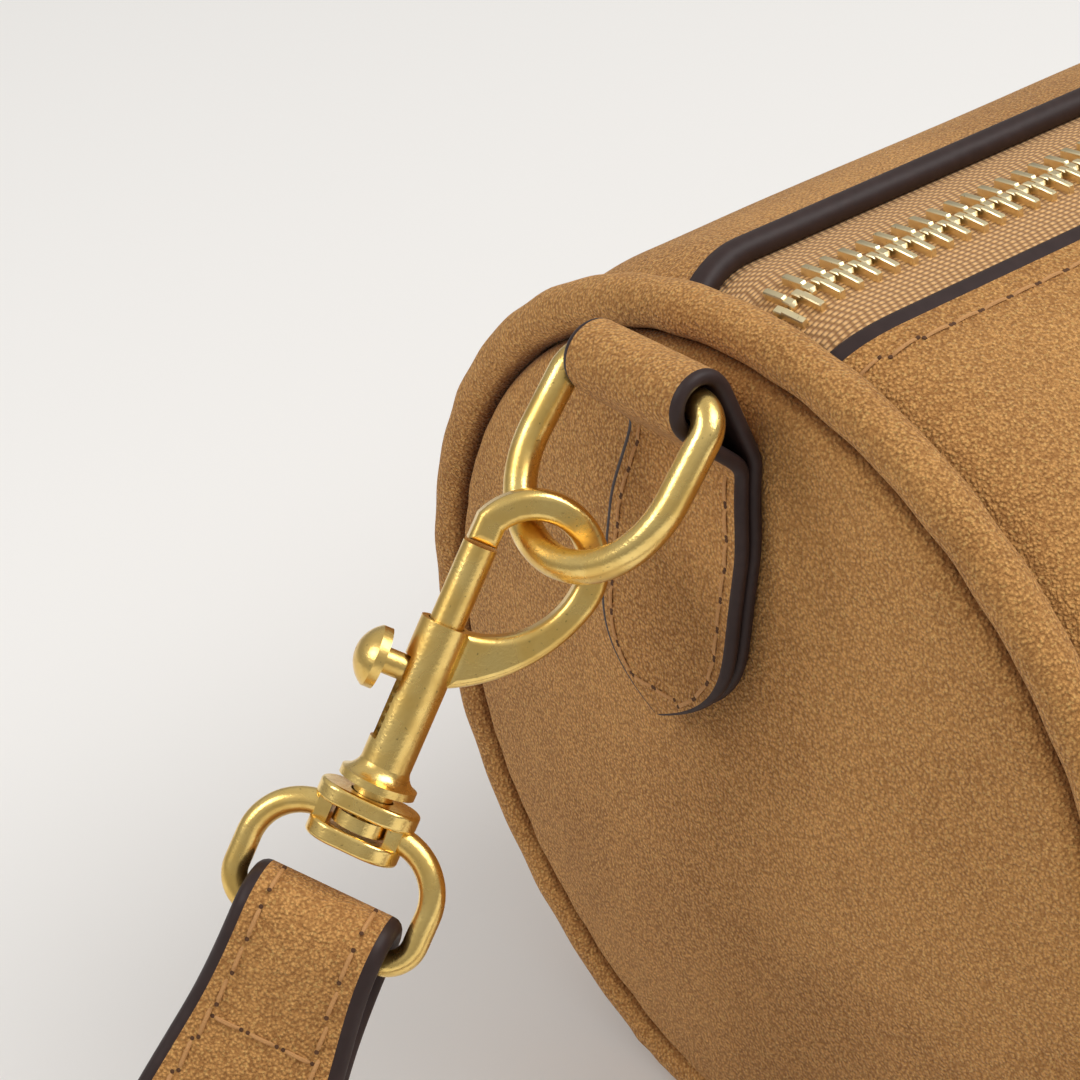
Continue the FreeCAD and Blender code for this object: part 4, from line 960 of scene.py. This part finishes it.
def ring_tab(pitch, thread):
    """The folded tab with its painted edges and the stitches round its sewn part."""
    line = tab_line()
    outer = np.cross(BACK, unit(np.gradient(line, axis=0)))
    height = line[:, 2] - AXIS_HEIGHT
    bead = TAB_LEATHER / 2.0
    offsets, half, painted = strip_columns(tab_half_width(height), bead, bead, TAB_PAINT, count=14)
    middle = line[:, None] + BACK * (offsets + tab_lean(height))[..., None]
    sheet = slab(middle, outer[:, None], half, painted, PAINT_SLOT, PAINT_SLOT)
    sewn = np.arange(TAB_TIP_HEIGHT + TAB_ROW_FOOT, TAB_SEWN_HEIGHT - TAB_ROW_TOP, SEAM_STEP)
    edge = BACK * (tab_half_width(sewn) - TAB_ROW)[:, None]
    surface = LAYER_GAP * 3.0 + 2.0 * TAB_LEATHER
    spots = dome_place(sewn, surface) + BACK * tab_lean(sewn)
    row = rows((spots - edge)[::-1], spots + edge)
    at = np.arange(pitch / 2.0, distances(row)[-1], pitch)
    places = spaced(row, row, at)
    out = unit((places - ALONG * (-SEAM_X - CROWN_CENTRE) - UP * AXIS_HEIGHT) * (ALONG + UP))
    ways = square_to(unit(spaced(row, np.gradient(row, axis=0), at)), out)
    return [sheet] + stitches(places, ways, out, pitch, thread)


def d_ring():
    """A round wire: a bar with two corners, straight sides and a half-round foot."""
    half = RING_HALF_WIDTH
    corner = RING_CORNER
    foot = RING_HEIGHT - half
    up = ALONG * np.cos(RING_SLOPE) + UP * np.sin(RING_SLOPE)
    plane = np.cross(-BACK, up)

    def spot(x, y):
        return RING_AXIS - BACK * x + up * y

    path = rows(
        straight_points(spot(corner - half, 0.0), spot(half - corner, 0.0), 12),
        arc_points(spot(half - corner, -corner), spot(half - corner, 0.0), plane, -np.pi / 2.0, 12),
        straight_points(spot(half, -corner), spot(half, -foot), 8),
        arc_points(spot(0.0, -foot), spot(half, -foot), plane, -np.pi, 48),
        straight_points(spot(-half, -foot), spot(-half, -corner), 8),
        arc_points(spot(corner - half, -corner), spot(-half, -corner), plane, -np.pi / 2.0, 12),
    )
    return closed_tube(path[:-1], RING_WIRE_RADIUS + RING_POLISH, plane, sides=28)


def bolt_spring():
    """The coil behind the bolt: a round wire wound on a helix about the hook's line."""
    turn = np.linspace(0.0, 2.0 * np.pi * SPRING_TURNS, 24 * SPRING_TURNS)[:, None, None]
    around = round_turn(8)[:, None]
    out = SPRING_RADIUS + SPRING_WIRE * np.cos(around)
    climb = (SPRING_HIGH - SPRING_LOW - 2.0 * SPRING_WIRE) * turn / turn[-1]
    rise = SPRING_LOW + SPRING_WIRE * (1.0 + np.sin(around)) + climb
    points = HOOK_ORIGIN + out * (BACK * np.cos(turn) + TOWARD_BAG * np.sin(turn)) + HOOK_UP * rise
    return grid(points, close_v=True, caps=True)


# Strap

Run = namedtuple("Run", "middle heading outer width")


def strap_width(distance):
    """The strap's width, growing smoothly from its sewn end to its full width."""
    return STRAP_END_WIDTH + (STRAP_WIDTH - STRAP_END_WIDTH) * ramp(distance, 0.0, STRAP_TAPER_LENGTH)


def strap_layer(distance, side):
    """One of the two layers below the eye's bar, in front of it or behind, drawn together when sewn."""
    share = ramp(distance, 0.0, STRAP_PINCH)
    offset = (FOLD_RADIUS + (SEWN_OFFSET - FOLD_RADIUS) * share)[:, None]
    middle = EYE_CENTRE - HOOK_UP * distance[:, None] + STRAP_OUT * side * offset
    outer = np.broadcast_to(STRAP_OUT * side, middle.shape)
    heading = np.broadcast_to(-HOOK_UP * side, middle.shape)
    return Run(middle, heading, outer, strap_width(distance))


def strap_fold(count):
    """The half turn round the eye's bar, from the back layer to the front one."""
    swing = np.linspace(0.0, np.pi, count)[:, None]
    outer = HOOK_UP * np.sin(swing) - STRAP_OUT * np.cos(swing)
    heading = HOOK_UP * np.cos(swing) + STRAP_OUT * np.sin(swing)
    return Run(EYE_CENTRE + outer * FOLD_RADIUS, heading, outer, np.full(count, STRAP_END_WIDTH))


def banked(heading):
    """The strap's outer side where it lies on the ground and leans to the inside."""
    return unit(np.cross(heading, UP)) * np.sin(STRAP_LEAN) + UP * np.cos(STRAP_LEAN)


def cubic(start, start_pull, end, end_pull, share):
    """Points and headings of a cubic that leaves start and reaches end with those pulls."""
    s = share[:, None]
    point = start * (2 * s**3 - 3 * s**2 + 1) + start_pull * (s**3 - 2 * s**2 + s)
    point = point + end * (3 * s**2 - 2 * s**3) + end_pull * (s**3 - s**2)
    heading = start * (6 * s**2 - 6 * s) + start_pull * (3 * s**2 - 4 * s + 1)
    heading = heading + end * (6 * s - 6 * s**2) + end_pull * (3 * s**2 - 2 * s)
    return point, unit(heading)


def strap_drop(count):
    """The strap from the sewn lap down to the ground, turning over to its lean."""
    share = np.linspace(0.0, 1.0, count)
    descent = -HOOK_UP * STRAP_DESCENT_PULL
    middle, heading = cubic(STRAP_LEAVES, descent, STRAP_LANDS, -BACK * STRAP_SIDE_PULL, share)
    turn = ramp(share, 0.0, 1.0)[:, None]
    outer = square_to(STRAP_OUT * (1.0 - turn) + banked(heading) * turn, heading)
    away = STRAP_LAP + np.linalg.norm(middle - STRAP_LEAVES, axis=1)
    return Run(middle, heading, outer, strap_width(away))


def strap_floor(start, end, count):
    """The strap on the ground, between two shares of its way from the left side to the middle in front."""
    share = np.linspace(start, end, count)
    pull = -BACK * STRAP_SIDE_PULL
    middle, heading = cubic(STRAP_LANDS, pull, STRAP_MIDDLE, ALONG * STRAP_FRONT_PULL, share)
    return Run(middle, heading, square_to(banked(heading), heading), np.full(count, STRAP_WIDTH))


def joined_runs(*runs):
    """Runs end to end, leaving out each one's first row, which repeats the last."""
    parts = [runs[0]] + [Run(*(values[1:] for values in run)) for run in runs[1:]]
    return Run(*(np.concatenate(values) for values in zip(*parts)))


def strap_sheet(run):
    """The strap's leather along a run, with rounded painted edges."""
    half = STRAP_THICKNESS / 2.0
    offsets, thick, painted = strip_columns(run.width / 2.0, half, half, STRAP_PAINT, count=16)
    across = np.cross(run.outer, run.heading)
    middle = run.middle[:, None] + across[:, None] * offsets[..., None]
    return slab(middle, run.outer[:, None], thick, painted, PAINT_SLOT)


def strap_seams(run, pitch, thread, faces):
    """Stitches along both edges of a run, on the given faces: 1 for the outer, -1 for the inner."""
    along = distances(run.middle)
    at = np.arange(pitch / 2.0, along[-1], pitch)
    middle, heading, outer = (spaced(run.middle, values, at) for values in run[:3])
    reach = np.interp(at, along, run.width)[:, None] / 2.0 - STRAP_ROW
    heading = unit(heading)
    outer = square_to(outer, heading)
    across = np.cross(outer, heading)
    patches = []
    for face in faces:
        surface = middle + outer * (face * STRAP_THICKNESS / 2.0)
        for edge in (-1.0, 1.0):
            patches += stitches(surface + across * edge * reach, heading, outer * face, pitch, thread)
    return patches


def strap_cross_row(pitch, thread):
    """The row of stitches across the lap, below the eye's bar."""
    layer = strap_layer(np.array([STRAP_CROSS_ROW]), 1.0)
    reach = layer.width[0] / 2.0 - STRAP_ROW
    count = int(round(2.0 * reach / pitch))
    offset = np.linspace(-reach, reach, 2 * count + 1)[1::2][:, None]
    places = layer.middle[0] + STRAP_OUT * STRAP_THICKNESS / 2.0 + EYE_ACROSS * offset
    return stitches(places, EYE_ACROSS, STRAP_OUT, pitch, thread)


# Panel settings

def length_property(label, text, default, least):
    return FloatProperty(
        name=label, description=text, default=default, min=least, unit="LENGTH", precision=5,
    )


def colour_property(label, text, colour):
    return FloatVectorProperty(
        name=label, description=text, subtype="COLOR", size=3, min=0.0, max=1.0, default=tint(*colour),
    )


class BagSizes(bpy.types.PropertyGroup):
    """Sizes of the finish, in the units shown."""

    grain: length_property("Grain", "Size of the nap's grain", 0.29 * MM, 0.1 * MM)
    stitch_pitch: length_property("Stitch pitch", "Distance from stitch to stitch", 4.0 * MM, MM)
    thread: length_property("Thread", "Thickness of the sewing thread", 0.46 * MM, 0.1 * MM)
    floor: length_property("Floor", "Width of the pale floor", 6.0, 1.0)


class BagColours(bpy.types.PropertyGroup):
    """Colours of the bag and of the floor under it."""

    c_nubuck_light: colour_property("Nubuck", "Raised nap of the leather", (237, 177, 105))
    c_nubuck_dark: colour_property("Nubuck shade", "Ground of the leather", (110, 62, 22))
    c_edge: colour_property("Edge paint", "Painted cut edges", (47, 34, 32))
    c_thread: colour_property("Thread", "Sewing thread", (208, 152, 92))
    # The needle holes' colour is painted shade of the holes
    c_hole: colour_property("Needle hole", "Holes at the ends of the stitches", (92, 58, 32))
    c_brass: colour_property("Brass", "Hooks and rings", (250, 217, 136))
    c_brass_deep: colour_property("Brass shade", "Duller patches of the hooks and rings", (226, 188, 106))
    c_teeth: colour_property("Zip metal", "Teeth and slider", (248, 230, 184))
    c_tape: colour_property("Zip tape", "Raised ribs of the tape", (230, 180, 118))
    c_tape_dark: colour_property("Zip tape shade", "Ground of the tape", (130, 84, 42))
    c_lining: colour_property("Lining", "Cloth inside the bag", (120, 92, 62))
    c_floor: colour_property("Floor", "Floor and background", (236, 234, 231))


def sewing(context):
    """The stitch pitch and the thread's thickness, in millimetres."""
    sizes = context.scene.bag_sizes
    return sizes.stitch_pitch / MM, sizes.thread / MM


def finish_node(name, material):
    """Gives a solid of the frame its material."""
    solid = frame["nodes"][name]
    solid.data.materials.clear()
    solid.data.materials.append(bag_material(material))


# Operators

class BAG_OT_body(bpy.types.Operator):
    """Makes the barrel's leather with its painted zip edges and stitching, and its lining"""

    bl_idname = "bag.body"
    bl_label = "Body"

    def execute(self, context):
        patches = [body_sheet()] + edge_stitches(*sewing(context))
        nodes = ("body_panel", "body_stiffener")
        piece("body_leather", patches, LEATHER_SET, "bag", nodes)
        linings = [lining_shell(), lining_round(-1), lining_round(1)]
        nodes = ("body_lining", "left_end_lining", "right_end_lining")
        piece("lining", linings, ["Lining"], "bag", nodes)
        return {"FINISHED"}


class BAG_OT_ends(bpy.types.Operator):
    """Makes the piping and the padded end panels"""

    bl_idname = "bag.ends"
    bl_label = "Ends"

    def execute(self, context):
        for word, side in SIDES.items():
            nodes = (f"{word}_piping", f"{word}_piping_cord")
            piece(f"{word}_piping_roll", [piping()], ["Nubuck"], "bag", nodes, side)
            nodes = (f"{word}_end_panel", f"{word}_end_pad")
            dome = piece(f"{word}_end_dome", [end_dome()], ["Nubuck"], "bag", nodes, side)
        return {"FINISHED"}


class BAG_OT_zip(bpy.types.Operator):
    """Makes the zip's woven tapes and its two rows of teeth"""

    bl_idname = "bag.zip"
    bl_label = "Zip"

    def execute(self, context):
        for word, side in (("front", -1), ("back", 1)):
            nodes = (f"zip_tape_{word}",)
            tape = piece(f"woven_tape_{word}", [zip_tape(side)], ["Zip tape"], "bag", nodes)
            nodes = (f"zip_teeth_{word}",)
            teeth = zip_teeth(side)
            metal = ["Zip brass"]
            row = piece(f"tooth_row_{word}", teeth, metal, "bag", nodes, crease=TOOTH_CREASE)
            for part in (tape, row):
                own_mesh(part)
        for name in ("zip_slider", "zip_pull"):
            finish_node(name, "Zip brass")
        return {"FINISHED"}


class BAG_OT_hooks(bpy.types.Operator):
    """Makes the ring tabs, D-rings and springs, and finishes the snap hooks and swivel eyes"""

    bl_idname = "bag.hooks"
    bl_label = "Hooks"

    def execute(self, context):
        pitch, thread = sewing(context)
        tab = ring_tab(pitch * TAB_PITCH_SHARE, thread)
        for word, side in SIDES.items():
            hook = f"{word}_hook"
            nodes = (f"{word}_ring_tab",)
            piece(f"{word}_folded_tab", tab, LEATHER_SET, "bag", nodes, side)
            nodes = (f"{word}_d_ring",)
            piece(f"{word}_ring_wire", [d_ring()], ["Brass"], f"{word}_ring", nodes, side)
            nodes = (f"{word}_bolt_spring",)
            coil = piece(f"{word}_spring_coil", [bolt_spring()], ["Steel"], hook, nodes, side)
            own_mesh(coil)
            for name in ("hook_body", "swivel_rivet", "hook_bolt", "thumb_knob", "swivel_eye"):
                finish_node(f"{word}_{name}", "Brass")
        return {"FINISHED"}


class BAG_OT_strap(bpy.types.Operator):
    """Makes the shoulder strap, folded round both eyes and lying on the ground in front"""

    bl_idname = "bag.strap"
    bl_label = "Strap"

    def execute(self, context):
        pitch, thread = sewing(context)
        lap = np.linspace(STRAP_LAP, 0.0, 30)
        back = strap_layer(lap, -1.0)
        front = strap_layer(lap[::-1], 1.0)
        fold = strap_fold(count=33)
        crest = Run(*(values[len(values) // 2:] for values in fold))
        loop = [strap_sheet(joined_runs(back, fold, front))]
        loop += strap_seams(joined_runs(crest, front), pitch, thread, (1,))
        loop += strap_seams(back, pitch, thread, (1,))
        loop += strap_cross_row(pitch * STRAP_CROSS_PITCH_SHARE, thread)
        run = joined_runs(strap_drop(60), strap_floor(0.0, STRAP_LYING_SHARE, 30))
        slope = [strap_sheet(run)] + strap_seams(run, pitch, thread, (1, -1))
        run = strap_floor(STRAP_LYING_SHARE, 1.0, 70)
        lying = [strap_sheet(run)] + strap_seams(run, pitch, thread, (1, -1))
        for word, side in SIDES.items():
            ends = piece(f"{word}_strap_loop", loop, LEATHER_SET, side=side)
            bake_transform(ends)
            risen = piece(f"{word}_strap_rise", slope, LEATHER_SET, side=side)
            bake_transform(risen)
            piece(f"{word}_strap_lying", lying, LEATHER_SET, "bag", side=side)
            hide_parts("strap")
        return {"FINISHED"}


# Camera and light, in millimetres from the origin
CAMERA_PLACE = (-270.17, -208.17, 244.63)
CAMERA_RIGHT = (0.78506, -0.61215, -0.09526)
CAMERA_UP = (0.3775, 0.3507, 0.857)
CAMERA_BACK = (-0.49113, -0.70872, 0.50635)
CAMERA_LENS = 100.0
CAMERA_SENSOR = 36.0
KEY_PLACE = (500.0, -650.0, 1100.0)
KEY_SIZE = 900.0
KEY_POWER = 12.0
FILL_PLACE = (-900.0, 300.0, 900.0)
FILL_SIZE = 500.0
FILL_POWER = 4.0
SKY_COLOUR = (1.0, 0.99, 0.975)
SKY_TOP = 0.58
SKY_RIM = 0.3
SKY_RISE = (0.1, 0.7)


def axes_matrix(right, top, back, place):
    columns = np.stack([right, top, back, np.array(place) * MM], axis=1)
    return Matrix(columns.tolist() + [[0.0, 0.0, 0.0, 1.0]])


def set_up(name, data, matrix=None):
    """A new object of the stage with that data, in its place."""
    made = bpy.data.objects.new(name, data)
    bpy.context.scene.collection.objects.link(made)
    if matrix is not None:
        made.matrix_world = matrix
    return made


def soft_light(name, place, size, power):
    """A square lamp at place, turned to the middle of the bag."""
    data = bpy.data.lights.new(name, "AREA")
    data.size = size * MM
    data.energy = power
    aim = unit(np.array(place) - UP * AXIS_HEIGHT)
    side = unit(np.cross(UP, aim))
    set_up(name, data, axes_matrix(side, np.cross(aim, side), aim, place))


def pale_sky():
    """A world whose light grows from the rim of the sky to its top."""
    world = bpy.data.worlds.new("Sky")
    world.use_nodes = True
    tree = world.node_tree
    up = add_node(tree, "SeparateXYZ", {0: add_node(tree, "TexCoord", {}, "Generated")}, "Z")
    strength = plus(tree, times(tree, spread_node(tree, up, *SKY_RISE), SKY_TOP - SKY_RIM), SKY_RIM)
    feed_all(tree, tree.nodes["Background"].inputs, {"Color": SKY_COLOUR, "Strength": strength})
    return world


class BAG_OT_stage(bpy.types.Operator):
    """Sets the pale floor, the soft lamps and the camera"""

    bl_idname = "bag.stage"
    bl_label = "Stage"

    def execute(self, context):
        scene = context.scene
        reach = scene.bag_sizes.floor / 2.0
        corners = [(-reach, -reach, 0.0), (reach, -reach, 0.0), (reach, reach, 0.0), (-reach, reach, 0.0)]
        mesh = bpy.data.meshes.new("floor")
        mesh.from_pydata(corners, [], [(0, 1, 2, 3)])
        values = {"Base Color": scene.bag_colours.c_floor, "Roughness": 0.9, "Specular IOR Level": 0.1}
        mesh.materials.append(start_material("Floor", values)[0])
        floor = set_up("floor", mesh)
        scene.world = pale_sky()
        soft_light("key", KEY_PLACE, KEY_SIZE, KEY_POWER)
        soft_light("fill", FILL_PLACE, FILL_SIZE, FILL_POWER)
        data = bpy.data.cameras.new("camera")
        data.lens = CAMERA_LENS
        data.sensor_width = CAMERA_SENSOR
        scene.camera = set_up("camera", data, axes_matrix(CAMERA_RIGHT, CAMERA_UP, CAMERA_BACK, CAMERA_PLACE))
        scene.view_settings.view_transform = "Standard"
        return {"FINISHED"}


class BAG_PT_panel(bpy.types.Panel):
    """Sizes, colours and the steps that build the bag"""

    bl_idname = "BAG_PT_panel"
    bl_label = "Barrel bag"
    bl_space_type = "VIEW_3D"
    bl_region_type = "UI"
    bl_category = "Bag"

    def draw(self, context):
        for settings in (context.scene.bag_sizes, context.scene.bag_colours):
            for key in settings.__annotations__:
                self.layout.prop(settings, key)
        for step in STEPS:
            self.layout.operator(step.bl_idname)


STEPS = (BAG_OT_body, BAG_OT_ends, BAG_OT_zip, BAG_OT_hooks, BAG_OT_strap, BAG_OT_stage)
CLASSES = (BagSizes, BagColours, *STEPS, BAG_PT_panel)


def register():
    for made in CLASSES:
        bpy.utils.register_class(made)
    bpy.types.Scene.bag_sizes = PointerProperty(type=BagSizes)
    bpy.types.Scene.bag_colours = PointerProperty(type=BagColours)


def unregister():
    del bpy.types.Scene.bag_colours
    del bpy.types.Scene.bag_sizes
    for made in reversed(CLASSES):
        bpy.utils.unregister_class(made)


def main():
    register()
    bpy.ops.bag.body()
    bpy.ops.bag.ends()
    bpy.ops.bag.zip()
    bpy.ops.bag.hooks()
    bpy.ops.bag.strap()
    bpy.ops.bag.stage()


if __name__ == "__main__":
    main()
